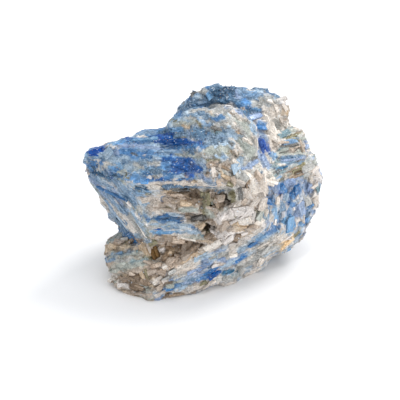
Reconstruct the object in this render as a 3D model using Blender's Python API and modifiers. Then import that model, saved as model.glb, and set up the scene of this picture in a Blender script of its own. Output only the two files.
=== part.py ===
"""Kyanite blade cluster: a broken hand specimen of blue kyanite blades grown through mica schist.

The specimen grew as one piece, so it is one solid. It is massed from a few convex chunks of rock,
fused, hollowed, roughened along the grain of the rock, and set with flat-faced kyanite blades that
are fused into it.

Frame: metres, +Z up. The origin is on the resting face, under the middle of the specimen. The show
face looks along -Y, and the blue plate reaches out over empty space towards -X. All the places
below are in millimetres from a point on the table under the middle of the chunks.
"""

import math
import random

import bmesh
import bpy
from mathutils import Matrix, Vector, noise
from mathutils.bvhtree import BVHTree

MM = 0.001
NAME = "kyanite_cluster"
SEED = 7

# Corners of each chunk of rock.
CHUNKS = {
    # The blue plate that leans out to the left, with its sloping face towards the front.
    "plate": [
        (-29.75, 0.5, 27), (-29.75, 1.25, 32), (-27.75, 2, 32.8), (-18.25, -7, 29.5),
        (-9.5, -10.5, 31), (1, -13, 32.25), (-22.75, -1.5, 36.75), (-10.75, -2.5, 37.25),
        (1, -5, 35.25), (-22.75, 5.5, 32.2), (-15.75, 6.25, 33), (-9.5, 6.25, 36.75),
        (-18.25, 2.5, 20), (-0.75, 2.5, 22.5),
    ],
    # The undercut wall of blades below the plate.
    "left_wall": [
        (-29.7, 0.5, 26.2), (-29.5, 1.5, 31.5), (-21.25, 1.5, 8.5), (-13.25, -10, 12.5),
        (-11.5, -10, 28.5), (-18.25, -7, 29.25), (-20.75, 12, 26.25), (-13.25, 13.75, 10),
        (-9.5, 5, 35),
    ],
    # The low lobe that sticks out at the front left corner.
    "foot": [
        (-12, -17.5, -1), (-19.5, -14.25, -1), (-23.25, -10.75, 1), (-24.1, -7, 3),
        (-24.1, -3.5, 8.25), (-22.25, -1, 9.75), (-22.75, -10.5, 7), (-13.25, -14, 9),
        (-20.75, 5.5, -1), (-15.75, 10.5, -1), (-0.75, -2.5, 8.5), (-18.25, 2.5, 11.25),
    ],
    # The middle of the show face, set back under the plate.
    "core": [
        (-11.5, -8.5, 29), (11.75, -9, 31), (-13.25, -7.5, 12.5), (0.5, -7.5, 15),
        (3, -11, 18.75), (10.5, -12, 20), (14.75, -8.5, 12), (6.75, -11.5, 27),
        (15.5, -9.5, 27.5), (15.75, -9.25, 18), (12.5, -11, 30.5), (-10.75, 12.5, 25),
        (14.25, 15, 27.5), (-10.75, 10, 1.25), (14.75, 10, 1.25), (-0.75, -5, 5),
    ],
    # The slab of slanting layers along the bottom of the show face.
    "slab": [
        (-12, -17.5, -1), (-0.75, -12.5, -1), (9.25, -8.25, -1), (15.5, -1, -0.5),
        (19, 0.5, 2.5), (-13.25, -14, 9), (-7, -12.5, 9), (0.5, -10.75, 9),
        (9.25, -9, 10), (20.5, -2, 9), (21.75, 10, 2), (-0.75, 7.5, -1),
        (-13.25, 7.5, -1), (14.75, 0, 12.5),
    ],
    # The right-hand flank, which faces the front and the right.
    "right_flank": [
        (13.75, -10.5, 31.25), (15.5, -8.75, 12.5), (29.75, 4.5, 20.5), (27.25, 5.5, 31.25),
        (25.25, 7.5, 34.2), (21.75, 7.5, 36.2), (29.25, 3.75, 15.5), (26.2, 2.5, 11.25),
        (24.25, 1, 5.5), (22.25, 0, 3), (15.5, 1, -0.5), (24.25, 15, 15), (21.75, 17.5, 25),
        (16.75, 18.75, 32.5), (20.5, 13.75, 2), (14.75, -2.5, 35),
    ],
    # The floor of the valley between the hump and the right flank.
    "valley": [
        (11, 2, 38), (14, -3, 35), (16, -4, 34), (20, 4, 37.5), (12.5, -9.5, 31),
        (17, -8, 29), (12, 5, 22), (20, 5, 22),
    ],
    # The rounded hump in the middle of the top.
    "hump": [
        (-8.25, 2, 41.25), (-2, 3, 45), (3.25, 3, 46.2), (6.5, 2.5, 46.4), (9.5, 2, 45.4),
        (12.75, -0.5, 41), (14, -5, 35.75), (11.75, -10, 32.5), (1.75, -13, 33),
        (3, -7.5, 39.25), (-3.25, -5, 39.5), (-8.25, -2.5, 37), (-0.75, 10, 32.5),
        (13, 10, 32.5), (-9.5, 6.25, 36.75),
    ],
    # The rock that joins the hump to the show face below it.
    "brow": [
        (1, -12.3, 32.5), (11.5, -10.5, 32.6), (3, -12, 30.6), (11.5, -11, 29.8), (1, -8, 34),
        (11.5, -7, 34), (3, -8, 29), (11.5, -8, 29),
    ],
    # The highest ridge, behind the hump.
    "crest": [
        (-9.25, 6.5, 37.5), (-2, 9, 46.4), (4, 9, 47.6), (10.5, 9.5, 46),
        (19.5, 9.5, 43.6), (22, 9, 40.5), (21.75, 8, 37), (-5.75, 5.5, 39.5),
        (14.75, 3, 37.5), (-5.75, 17, 34.5), (6.75, 19, 37.5), (17.25, 17.5, 35),
        (5, 12, 27),
    ],
    # The rock inside, where the other chunks meet.
    "heart": [
        (-14, -4, 29), (12, -8.5, 31), (-12, -6.5, 8), (15, -6.5, 10), (-16, 9, 8),
        (20.5, 13, 8), (-13, 11, 28), (19, 15.5, 31), (-1, 11, 42), (16, 9, 41),
        (-8, 4, 38), (-12, -12, -1), (12.5, -3.5, -1), (18, 12, -1), (-14, 8, -1),
    ],
    # The plain broken back.
    "back": [
        (-13.25, 13.75, 10), (-18.25, 12, 25), (-5.75, 19, 30), (9.25, 20.5, 32),
        (20.5, 18, 25), (24.25, 15, 15), (20.5, 13.75, 2), (9.25, 16.5, -1),
        (-8.25, 14.5, -1), (-17, 7.5, -1), (-9.5, 6.25, 36.25),
    ],
}

# Hollows where mica has weathered out: centre and half sizes.
HOLLOWS = {
    "brown_cavity": ((-5.5, -11.2, 11.4), (7.0, 5.0, 2.8)),
    "amber_pocket": ((-12.2, -12.0, 11.6), (2.6, 3.6, 3.0)),
    "beige_recess": ((-2.5, -12.4, 25.8), (10.0, 2.8, 3.2)),
    "left_pit": ((-1.6, -10.6, 27.6), (2.0, 2.6, 1.4)),
    "right_pit": ((5.2, -11.8, 26.6), (1.4, 2.6, 1.8)),
    "lower_pit": ((1.4, -10.4, 17.6), (1.8, 2.4, 2.0)),
    "crest_dip": ((1.2, 9.0, 48.0), (1.5, 5.0, 1.9)),
    "valley_high": ((15.2, 2.8, 39.8), (1.5, 3.2, 2.0)),
    "valley_low": ((15.8, -2.6, 36.0), (1.6, 3.6, 2.2)),
    "back_scoop": ((2.0, 20.5, 18.0), (9.0, 3.0, 5.0)),
    "back_low_scoop": ((-14.0, 13.5, 4.0), (6.0, 3.0, 4.0)),
}

# The way the rock splits in each part of it: a place, how far it reaches, and the grain there.
GRAIN = [
    ((-14, -2, 34), 9, (1.0, -0.12, -0.05)),
    ((-20, -3, 20), 9, (0.62, -0.40, -0.68)),
    ((-18, -9, 5), 8, (0.90, -0.25, 0.20)),
    ((2, -11, 5), 9, (0.87, 0.47, 0.12)),
    ((17, -5, 9), 8, (0.80, 0.50, 0.33)),
    ((0, -9, 20), 8, (1.0, 0.05, -0.12)),
    ((21, -3, 18), 8, (0.15, 0.10, 1.0)),
    ((22, 3, 32), 7, (0.78, 0.55, -0.15)),
    ((4, -4, 40), 9, (0.70, -0.45, -0.55)),
    ((8, 9, 45), 10, (0.95, 0.15, -0.20)),
    ((0, 18, 22), 12, (0.85, 0.10, 0.50)),
    ((20, 14, 15), 9, (-0.35, 0.55, 0.75)),
]

# Bundles of kyanite blades. Each has a place, the way its blades run, the way their broad faces look,
# how many there are, their length, width and thickness, how far they spread along and across, and how
# far they fan out, in degrees.
BUNDLES = {
    "plate_top": (
        (-13.2, 0.6, 35.3), (1, -0.05, 0.05), (-0.05, 0.1, 0.99),
        7, (8, 13), (1.8, 3.0), (1.2, 1.8), (4.5, 3.2), 3,
    ),
    "plate_face": (
        (-12.5, -6.2, 33.8), (1, -0.14, -0.03), (-0.2, -0.75, 0.62),
        9, (9, 16), (1.8, 3.2), (1.0, 1.6), (6.0, 3.4), 4,
    ),
    "plate_lip": (
        (-4.0, -11.6, 31.2), (1, -0.10, 0.05), (0.0, -0.45, 0.89),
        6, (9, 15), (1.8, 2.8), (0.9, 1.3), (7.0, 1.2), 4,
    ),
    "fan": (
        (-20.8, -3.8, 20.8), (0.58, -0.38, -0.72), (-0.70, -0.62, -0.30),
        10, (14, 21), (1.4, 2.4), (1.2, 1.8), (2.5, 4.8), 8,
    ),
    "ledge": (
        (-8.0, -9.8, 17.4), (1, 0.02, -0.14), (-0.1, -0.96, 0.2),
        6, (10, 15), (1.6, 2.6), (1.4, 2.4), (1.6, 2.0), 5,
    ),
    "white_knot": (
        (7.0, -11.0, 18.4), (0.75, -0.15, 0.60), (0.0, -0.96, -0.2),
        6, (4, 7), (2.0, 3.2), (1.6, 2.4), (3.0, 3.0), 20,
    ),
    "pale_blades": (
        (-1.5, -10.9, 8.8), (0.85, 0.40, 0.34), (0.1, -0.85, 0.50),
        6, (7, 12), (1.5, 2.3), (1.0, 1.6), (3.5, 1.8), 9,
    ),
    "slab_blades": (
        (-1.0, -12.8, 4.6), (0.87, 0.47, 0.12), (0.35, -0.92, 0.1),
        8, (8, 15), (1.6, 2.8), (1.2, 1.8), (8.0, 2.6), 7,
    ),
    "slab_right": (
        (14.5, -5.4, 8.4), (0.80, 0.50, 0.33), (0.55, -0.80, -0.1),
        5, (7, 12), (1.5, 2.4), (1.1, 1.7), (5.0, 3.0), 8,
    ),
    "foot_blades": (
        (-19.4, -9.4, 7.4), (0.93, -0.20, 0.20), (-0.30, -0.60, 0.74),
        5, (8, 11), (2.2, 3.2), (1.2, 2.0), (1.4, 3.0), 7,
    ),
    "flank_blades": (
        (20.2, -4.6, 18.0), (0.12, 0.12, 1.0), (0.68, -0.73, 0.0),
        10, (7, 12), (1.6, 2.6), (1.4, 2.2), (5.0, 5.0), 9,
    ),
    "ribs": (
        (22.4, 1.6, 31.6), (0.78, 0.58, -0.12), (0.55, -0.55, 0.62),
        8, (6, 11), (1.1, 1.9), (1.8, 3.0), (1.6, 4.8), 9,
    ),
    "hump_blades": (
        (4.5, -3.6, 39.5), (0.80, -0.35, -0.45), (0.10, -0.60, 0.79),
        9, (5, 10), (1.6, 2.6), (1.8, 2.8), (5.5, 6.0), 14,
    ),
    "crest_blocks": (
        (6.0, 8.8, 45.0), (0.97, 0.05, -0.18), (0.0, -0.45, 0.89),
        10, (4, 7), (1.8, 2.6), (2.6, 3.6), (12.0, 2.4), 18,
    ),
    "edge_knobs": (
        (28.0, 3.6, 20.0), (0.10, 0.30, 0.95), (0.80, -0.60, 0.1),
        5, (3, 5), (2.0, 2.8), (2.0, 2.8), (6.0, 1.4), 22,
    ),
    "back_high": (
        (4.0, 17.6, 33.5), (0.90, 0.05, 0.30), (-0.1, 0.85, 0.52),
        7, (8, 14), (2.0, 3.2), (1.4, 2.0), (8.0, 4.0), 10,
    ),
    "back_low": (
        (2.0, 17.6, 9.0), (0.80, 0.05, 0.55), (0.0, 0.99, -0.1),
        6, (8, 14), (2.0, 3.2), (1.4, 2.0), (8.0, 4.0), 12,
    ),
    "back_left": (
        (-15.5, 10.5, 18.0), (0.45, 0.30, -0.85), (-0.75, 0.66, -0.1),
        6, (9, 15), (1.8, 2.8), (1.4, 2.0), (5.0, 4.5), 9,
    ),
    "back_right": (
        (24.0, 12.0, 20.0), (-0.25, 0.30, 0.92), (0.90, 0.42, 0.1),
        6, (7, 12), (2.0, 3.0), (1.4, 2.0), (5.0, 3.5), 14,
    ),
}

# Crystals that stand out one by one: place, way along, way out, length, width, thickness.
SINGLES = {
    "tip_upper": ((-25.4, 0.6, 31.4), (1, -0.15, 0.06), (-0.3, -0.75, 0.58), 8.0, 3.2, 2.8),
    "tip_lower": ((-25.2, 0.1, 28.4), (1, -0.22, -0.04), (-0.3, -0.85, 0.40), 7.6, 2.8, 2.4),
    "sky_block": ((14.8, 3.2, 39.0), (0.9, -0.2, 0.1), (0.1, -0.7, 0.7), 3.2, 2.6, 2.6),
    "deep_prism": ((15.6, -1.6, 35.2), (0.12, -0.62, -0.74), (-0.1, -0.74, 0.66), 7.5, 3.0, 2.4),
    "mica_book": ((23.8, 0.4, 26.8), (0.80, 0.55, 0.18), (0.66, -0.68, 0.28), 6.0, 4.4, 2.6),
    "green_prism_a": ((1.2, -10.6, 26.4), (0.05, 0.05, 1), (0.1, -0.99, 0.1), 5.4, 1.5, 1.6),
    "green_prism_b": ((3.4, -10.9, 25.8), (-0.08, 0.0, 1), (-0.2, -0.97, 0.1), 4.8, 1.3, 1.6),
    "pale_tablet": ((-3.6, -9.9, 23.2), (1, 0.0, -0.02), (0.0, -0.95, 0.3), 5.2, 2.0, 1.8),
    "golden_flake": ((20.6, -2.4, 6.6), (0.80, 0.50, 0.33), (0.6, -0.75, 0.25), 4.2, 2.6, 1.8),
}

# How the rock and its crystals are made.
VOXEL = 0.7 * MM
HOLLOW_DETAIL = 2
ROCK_TRIANGLES = 4300
ALL_TRIANGLES = 9700
LUMP_HEIGHT = 1.0 * MM
LUMP_SIZE = 6.0 * MM
LUMP_FALLOFF, LUMP_STEP, LUMP_OCTAVES = 1.0, 2.0, 3
STREAK_HEIGHT = 0.75 * MM
STREAK_WIDTH = 2.2 * MM
STREAK_LENGTH = 11.0 * MM
LEAST_WEIGHT = 1e-6
TAPER = 0.8
SINGLE_SLANT = 0.08
MOST_SLANT = 0.12
SEAT_AT = 0.36
SUNK = (0.15, 0.6)
ROLL, ROLL_PER_FAN = 4.0, 0.25
FAN_JITTER = 0.4
REACH = 12 * MM
TABLE_SIZE = 100 * MM
STONE_COLOUR = (0.30, 0.36, 0.44, 1)
STONE_ROUGHNESS = 0.45


def new_collection(name):
    collection = bpy.data.collections.new(name)
    bpy.context.scene.collection.children.link(collection)
    return collection


def add_object(name, mesh, collection):
    obj = bpy.data.objects.new(name, mesh)
    collection.objects.link(obj)
    return obj


def bake_modifiers(obj):
    """Replaces an object's mesh by the one that its modifiers make."""
    graph = bpy.context.evaluated_depsgraph_get()
    mesh = bpy.data.meshes.new_from_object(obj.evaluated_get(graph))
    obj.modifiers.clear()
    obj.data = mesh


def mesh_of(shells, name):
    """One mesh that holds several bmesh shells, which are freed."""
    whole = bmesh.new()
    for shell in shells:
        shell.normal_update()
        bmesh.ops.recalc_face_normals(shell, faces=shell.faces)
        piece = bpy.data.meshes.new("shell")
        shell.to_mesh(piece)
        shell.free()
        whole.from_mesh(piece)
        bpy.data.meshes.remove(piece)
    mesh = bpy.data.meshes.new(name)
    whole.to_mesh(mesh)
    whole.free()
    return mesh


def chunk_shell(corners):
    """The convex hull of some corners in millimetres."""
    bm = bmesh.new()
    points = [bm.verts.new(Vector(corner) * MM) for corner in corners]
    hull = bmesh.ops.convex_hull(bm, input=points)
    inside = [v for v in hull["geom_interior"] if isinstance(v, bmesh.types.BMVert)]
    bmesh.ops.delete(bm, geom=inside, context="VERTS")
    return bm


def hollow_shell(centre, half_sizes):
    """A coarse egg that is cut out of the rock."""
    bm = bmesh.new()
    bmesh.ops.create_icosphere(bm, subdivisions=HOLLOW_DETAIL, radius=1.0)
    size = Matrix.Diagonal((*(Vector(half_sizes) * MM), 1.0))
    bm.transform(Matrix.Translation(Vector(centre) * MM) @ size)
    return bm


def fuse(obj, voxel):
    remesh = obj.modifiers.new("fuse", "REMESH")
    remesh.mode = "VOXEL"
    remesh.voxel_size = voxel
    bake_modifiers(obj)


def thin_out(obj, triangles):
    """Collapses the shortest and flattest edges until about this many triangles are left."""
    there = sum(len(polygon.vertices) - 2 for polygon in obj.data.polygons)
    decimate = obj.modifiers.new("facets", "DECIMATE")
    decimate.ratio = min(1.0, triangles / there)
    bake_modifiers(obj)


def islands_of(bm):
    """The faces of a bmesh, sorted into pieces that share no edge."""
    left = set(bm.faces)
    islands = []
    for seed in bm.faces:
        if seed not in left:
            continue
        left.remove(seed)
        island = [seed]
        for face in island:
            for edge in face.edges:
                for neighbour in edge.link_faces:
                    if neighbour in left:
                        left.remove(neighbour)
                        island.append(neighbour)
        islands.append(island)
    return islands


def keep_outer_skin(obj):
    """Drops the shells that overlapping crystals leave sealed inside the rock."""
    bm = bmesh.new()
    bm.from_mesh(obj.data)
    islands = sorted(islands_of(bm), key=len)
    for sealed in islands[:-1]:
        bmesh.ops.delete(bm, geom=sealed, context="FACES")
    bm.to_mesh(obj.data)
    bm.free()


def combine(obj, other, operation):
    """A Boolean of two objects, after which the second one is gone."""
    boolean = obj.modifiers.new(operation.lower(), "BOOLEAN")
    boolean.operation = operation
    boolean.object = other
    boolean.solver = "EXACT"
    boolean.use_self = True
    bake_modifiers(obj)
    bpy.data.objects.remove(other)
    keep_outer_skin(obj)


def streaks(point, along):
    """Noise that is drawn out along the grain, from -1 to 1."""
    run = point.dot(along)
    drawn = point / STREAK_WIDTH - along * run * (1 / STREAK_WIDTH - 1 / STREAK_LENGTH)
    return 1 - 2 * abs(noise.noise(drawn)) - 0.5


def roughened(point, normal):
    """A point of the rock's skin, moved out or in by its lumps and by the streaks of its grain."""
    total = 0.0
    height = 0.0
    for centre, reach, along in GRAIN:
        weight = math.exp(-((point / MM - Vector(centre)).length / reach) ** 2)
        total += weight
        height += weight * streaks(point, Vector(along).normalized())
    lump = noise.fractal(point / LUMP_SIZE, LUMP_FALLOFF, LUMP_STEP, LUMP_OCTAVES)
    streak = height / max(total, LEAST_WEIGHT)
    return point + normal * (LUMP_HEIGHT * lump + STREAK_HEIGHT * streak)


def rock(parts, cutters):
    """The body of the specimen, without its crystals."""
    chunks = mesh_of([chunk_shell(corners) for corners in CHUNKS.values()], NAME)
    hollows = mesh_of([hollow_shell(*hollow) for hollow in HOLLOWS.values()], "hollows")
    obj = add_object(NAME, chunks, parts)
    fuse(obj, VOXEL)
    combine(obj, add_object("hollows", hollows, cutters), "DIFFERENCE")
    fuse(obj, VOXEL)
    normals = [v.normal.copy() for v in obj.data.vertices]
    for vertex, normal in zip(obj.data.vertices, normals):
        vertex.co = roughened(vertex.co, normal)
    thin_out(obj, ROCK_TRIANGLES)
    return obj


def blade_shell(centre, along, out, length, width, thickness, slant):
    """A flat, slightly tapered blade whose ends are broken off at a slant. Its place is in metres."""
    bm = bmesh.new()
    bmesh.ops.create_cube(bm, size=1.0)
    for vertex in bm.verts:
        if vertex.co.z > 0:
            vertex.co.x *= TAPER
        vertex.co.z += slant * math.copysign(1.0, vertex.co.z) * vertex.co.x
    forward = Vector(along).normalized()
    side = forward.cross(Vector(out)).normalized()
    up = side.cross(forward)
    turn = Matrix((side, up, forward)).transposed().to_4x4()
    size = Matrix.Diagonal((width * MM, thickness * MM, length * MM, 1.0))
    bm.transform(Matrix.Translation(centre) @ turn @ size)
    return bm


def seated(skin, place, along, out, length, sink):
    """Where a blade lies when both its ends are dropped onto the rock's skin and it is sunk in."""
    half = along * (length * MM * SEAT_AT)
    feet = []
    for end in (place - half, place + half):
        hit = skin.ray_cast(end + out * REACH, -out)[0]
        if hit is not None and (hit - end).length < REACH:
            feet.append(hit)
    if len(feet) < 2:
        return None
    return (feet[0] + feet[1]) / 2 - out * (sink * MM), feet[1] - feet[0]


def bundle_shells(rng, skin, place, along, out, count, lengths, widths, depths, spread, fan):
    """The blades of one bundle, scattered about its place and laid on the rock's skin."""
    forward = Vector(along).normalized()
    side = forward.cross(Vector(out)).normalized()
    up = side.cross(forward)
    for number in range(count):
        across = (number + 0.5) / count * 2 - 1
        offset = forward * rng.uniform(-spread[0], spread[0]) + side * across * spread[1]
        swing = Matrix.Rotation(math.radians(-across * fan + rng.gauss(0, fan * FAN_JITTER)), 3, up)
        roll = Matrix.Rotation(math.radians(rng.gauss(0, ROLL + fan * ROLL_PER_FAN)), 3, forward)
        sense = rng.choice((-1, 1))
        length, width, depth = rng.uniform(*lengths), rng.uniform(*widths), rng.uniform(*depths)
        slant = rng.uniform(-MOST_SLANT, MOST_SLANT)
        sink = depth * rng.uniform(*SUNK)
        seat = seated(skin, (Vector(place) + offset) * MM, swing @ forward, up, length, sink)
        if seat is not None:
            centre, lie = seat
            yield blade_shell(centre, lie * sense, roll @ up, length, width, depth, slant)


def crystals(body, cutters):
    """All the blades, as separate shells in one object."""
    rng = random.Random(SEED)
    skin = BVHTree.FromObject(body, bpy.context.evaluated_depsgraph_get())
    shells = [
        blade_shell(Vector(place) * MM, *lie, SINGLE_SLANT) for place, *lie in SINGLES.values()
    ]
    for bundle in BUNDLES.values():
        shells.extend(bundle_shells(rng, skin, *bundle))
    return add_object("crystals", mesh_of(shells, "crystals"), cutters)


def table_block(cutters):
    """What lies below the resting face."""
    bm = bmesh.new()
    bmesh.ops.create_cube(bm, size=TABLE_SIZE)
    bm.transform(Matrix.Translation((0, 0, -TABLE_SIZE / 2)))
    return add_object("table", mesh_of([bm], "table"), cutters)


def centre_on_table(obj):
    """Moves the mesh so that the origin is under the middle of its box."""
    xs = [v.co.x for v in obj.data.vertices]
    ys = [v.co.y for v in obj.data.vertices]
    shift = Vector((-(min(xs) + max(xs)) / 2, -(min(ys) + max(ys)) / 2, 0))
    obj.data.transform(Matrix.Translation(shift))


def kyanite_material():
    material = bpy.data.materials.new("kyanite_in_schist")
    material.use_nodes = True
    shader = material.node_tree.nodes["Principled BSDF"]
    shader.inputs["Base Color"].default_value = STONE_COLOUR
    shader.inputs["Roughness"].default_value = STONE_ROUGHNESS
    shader.inputs["Metallic"].default_value = 0.0
    return material


for old in list(bpy.data.objects):
    bpy.data.objects.remove(old)
parts = new_collection(NAME)
cutters = new_collection("cutters")
specimen = rock(parts, cutters)
combine(specimen, crystals(specimen, cutters), "UNION")
thin_out(specimen, ALL_TRIANGLES)
combine(specimen, table_block(cutters), "DIFFERENCE")
centre_on_table(specimen)
specimen.data.materials.clear()
specimen.data.materials.append(kyanite_material())
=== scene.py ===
# %% [markdown]
# # A kyanite blade cluster
#
# Kyanite grows as long, flat blades, and here whole sheaves of them grew through a schist of pearly
# mica and white quartz. The specimen is one broken piece of rock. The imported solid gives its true
# size and main forms. This script gives it its skin: thousands of blades, flakes and grains, each
# with the colour of the mineral that grew there.

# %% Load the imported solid
import math
import random

import bmesh
import bpy
import numpy as np
from mathutils import Matrix, Vector, noise
from mathutils.bvhtree import BVHTree


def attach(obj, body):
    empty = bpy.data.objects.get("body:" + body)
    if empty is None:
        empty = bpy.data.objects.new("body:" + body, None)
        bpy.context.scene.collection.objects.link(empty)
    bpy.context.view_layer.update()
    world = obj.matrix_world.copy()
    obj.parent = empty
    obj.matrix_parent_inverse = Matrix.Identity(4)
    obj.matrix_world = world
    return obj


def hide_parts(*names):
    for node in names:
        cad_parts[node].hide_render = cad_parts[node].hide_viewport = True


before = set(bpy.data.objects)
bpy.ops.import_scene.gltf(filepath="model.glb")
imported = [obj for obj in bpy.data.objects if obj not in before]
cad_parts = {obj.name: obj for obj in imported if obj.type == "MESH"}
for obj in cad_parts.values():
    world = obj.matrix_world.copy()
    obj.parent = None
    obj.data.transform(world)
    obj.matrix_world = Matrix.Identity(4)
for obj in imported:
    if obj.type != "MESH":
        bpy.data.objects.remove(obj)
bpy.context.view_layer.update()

MM = 0.001
NODE = "kyanite_cluster"
BODY = "root"

# %% [markdown]
# ## The camera
#
# The specimen is seen from its show face, from 35 degrees above the table. A long lens a metre away
# keeps its proportions true. It could be an orthographic camera too, but a lens looks more natural
# from every other side.

# %% Camera
ELEVATION = math.radians(35)
DISTANCE = 1.0
FIELD = 100 * MM
IMAGE_SIDE = 400
SENSOR = 36
LOOK_AT = Vector((-0.95, -2.0, 18.9)) * MM


def add_object(name, data):
    obj = bpy.data.objects.new(name, data)
    bpy.context.scene.collection.objects.link(obj)
    return obj


def aim(obj, place, way):
    """Puts a camera or a lamp at a place, looking one way."""
    obj.location = place
    obj.rotation_mode = "QUATERNION"
    obj.rotation_quaternion = way.to_track_quat("-Z", "Y")


back = Vector((0, -math.cos(ELEVATION), math.sin(ELEVATION)))
right = Vector((1, 0, 0))
up = back.cross(right)
camera_data = bpy.data.cameras.new("camera")
camera_data.sensor_width = SENSOR
camera_data.lens = SENSOR * DISTANCE / FIELD
camera_data.clip_end = 10 * DISTANCE
camera = add_object("camera", camera_data)
aim(camera, LOOK_AT + back * DISTANCE, -back)
bpy.context.scene.camera = camera
print("lens, mm:", round(camera_data.lens))

# %% [markdown]
# ## Table and light
#
# A pale table and a white room all round give soft light with hardly a shadow. Four lamps shape it:
# a large one overhead, a smaller key lamp behind and to the right, which draws the soft shadow that
# falls to the front left, a low one at the right side for the flank, and a small hard one in front,
# which makes the broken facets sparkle. A picture of a sky could light it too, but lamps are easier
# to move one by one.

# %% Table and lamps
TABLE_HALF = 3.0
ROOM_LIGHT = 0.62
ROOM_COLOUR = (0.96, 0.98, 1.0, 1)
MIDDLE = Vector((0, 0, 0.02))
# Place and side in metres, power in watts, colour.
LAMPS = {
    "ceiling": ((0.0, 0.18, 1.08), 1.0, 5.0, (0.98, 0.99, 1.0)),
    "key": ((0.4, 0.32, 0.62), 0.3, 3.2, (1.0, 0.98, 0.95)),
    "side": ((0.6, -0.35, 0.12), 0.4, 1.7, (1.0, 0.99, 0.97)),
    "spark": ((-0.25, -0.5, 0.8), 0.06, 1.0, (1.0, 1.0, 1.0)),
}

bpy.context.scene.view_settings.view_transform = "Standard"
table_mesh = bpy.data.meshes.new("table")
bm = bmesh.new()
bmesh.ops.create_grid(bm, x_segments=1, y_segments=1, size=TABLE_HALF)
bm.to_mesh(table_mesh)
bm.free()
table = add_object("table", table_mesh)

world = bpy.data.worlds.new("room")
world.use_nodes = True
room = world.node_tree.nodes["Background"]
room.inputs["Color"].default_value = ROOM_COLOUR
room.inputs["Strength"].default_value = ROOM_LIGHT
bpy.context.scene.world = world
for name, (place, side, power, colour) in LAMPS.items():
    lamp = bpy.data.lights.new(name, "AREA")
    lamp.size = side
    lamp.energy = power
    lamp.color = colour
    aim(add_object(name, lamp), Vector(place), MIDDLE - Vector(place))
print("lamps:", *LAMPS)

# %% [markdown]
# ## Shader maths as plain expressions
#
# A node tree is easier to read as a formula. `Wire` wraps one socket, so that `1 - mask * 0.5` adds
# its Math nodes by itself, and `Finish.node` adds any other node with its settings and inputs. The
# nodes could be placed by hand in the Shader Editor, but a formula shows at a glance what it does.

# %% Wires
def join(tree, socket, value):
    """Links a socket to a value that comes from another node, and writes any other value in."""
    source = value.socket if isinstance(value, Wire) else value
    if isinstance(source, bpy.types.NodeSocket):
        tree.links.new(source, socket)
    else:
        socket.default_value = source


def add_node(tree, kind, settings, inputs):
    made = tree.nodes.new(kind)
    for setting, value in (settings or {}).items():
        setattr(made, setting, value)
    for key, value in (inputs or {}).items():
        join(tree, made.inputs[key], value)
    return made


class Wire:
    """One socket of a material, which plain arithmetic turns into Math nodes."""

    def __init__(self, finish, socket):
        self.finish = finish
        self.socket = socket

    def maths(self, operation, first, second):
        return self.finish.node("ShaderNodeMath", {"operation": operation}, {0: first, 1: second})

    def __add__(self, other):
        return self.maths("ADD", self, other)

    def __radd__(self, other):
        return self.maths("ADD", other, self)

    def __sub__(self, other):
        return self.maths("SUBTRACT", self, other)

    def __rsub__(self, other):
        return self.maths("SUBTRACT", other, self)

    def __mul__(self, other):
        return self.maths("MULTIPLY", self, other)

    def __rmul__(self, other):
        return self.maths("MULTIPLY", other, self)

    def __abs__(self):
        return self.maths("ABSOLUTE", self, 0.0)

    def above(self, limit):
        """1 where the value is above the limit, and 0 elsewhere."""
        return self.maths("GREATER_THAN", self, limit)

    def limited(self):
        """The same value, kept between 0 and 1."""
        settings = {"operation": "MULTIPLY", "use_clamp": True}
        return self.finish.node("ShaderNodeMath", settings, {0: self, 1: 1.0})


# %% Finishes
CELL_CENTRE = (0.5, 0.5, 0.5)
# The colour sockets of the Mix node, which share their names with its other sockets.
FIRST_COLOUR, SECOND_COLOUR, MIXED_COLOUR = 6, 7, 2


class Finish:
    """One material, built node by node."""

    def __init__(self, name):
        self.material = bpy.data.materials.new(name)
        self.material.use_nodes = True
        self.tree = self.material.node_tree
        self.shader = self.tree.nodes["Principled BSDF"]

    def node(self, kind, settings=None, inputs=None, output=0):
        return Wire(self, add_node(self.tree, kind, settings, inputs).outputs[output])

    def surface(self, **inputs):
        for key, value in inputs.items():
            join(self.tree, self.shader.inputs[key.replace("_", " ")], value)

    def place(self):
        return self.node("ShaderNodeTexCoord", output="Object")

    def attribute(self, name, output="Fac"):
        return self.node("ShaderNodeAttribute", {"attribute_name": name}, output=output)

    def noise(self, where, scale, detail=3.0):
        inputs = {"Vector": where, "Scale": scale, "Detail": detail}
        return self.node("ShaderNodeTexNoise", None, inputs, "Fac")

    def cells(self, where, scale, output, feature="F1"):
        inputs = {"Vector": where, "Scale": scale}
        return self.node("ShaderNodeTexVoronoi", {"feature": feature}, inputs, output)

    def mixed(self, first, second, share):
        """One colour turning into another as share goes from 0 to 1."""
        settings = {"data_type": "RGBA", "clamp_factor": True}
        inputs = {0: share, FIRST_COLOUR: first, SECOND_COLOUR: second}
        return self.node("ShaderNodeMix", settings, inputs, MIXED_COLOUR)

    def channel(self, colour, number):
        return self.node("ShaderNodeSeparateColor", None, {0: colour}, number)

    def vector(self, operation, first, second):
        inputs = {0: first, "Scale" if operation == "SCALE" else 1: second}
        return self.node("ShaderNodeVectorMath", {"operation": operation}, inputs)

    def scaled(self, colour, amount):
        """A colour made lighter or darker by a number."""
        return self.vector("SCALE", colour, amount)

    def glints(self, where, scale, strength):
        """Tilts the surface a little, by another amount in each small cell, as broken crystal does."""
        way = self.vector("SUBTRACT", self.cells(where, scale, "Color"), CELL_CENTRE)
        normal = self.node("ShaderNodeNewGeometry", output="Normal")
        total = self.vector("ADD", normal, self.scaled(way, strength))
        return self.node("ShaderNodeVectorMath", {"operation": "NORMALIZE"}, {0: total})


PAPER_WHITE = (0.9, 0.9, 0.91, 1)
PAPER_GRAIN = 400.0
SMOOTHEST, ROUGHER = 0.85, 0.1

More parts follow.
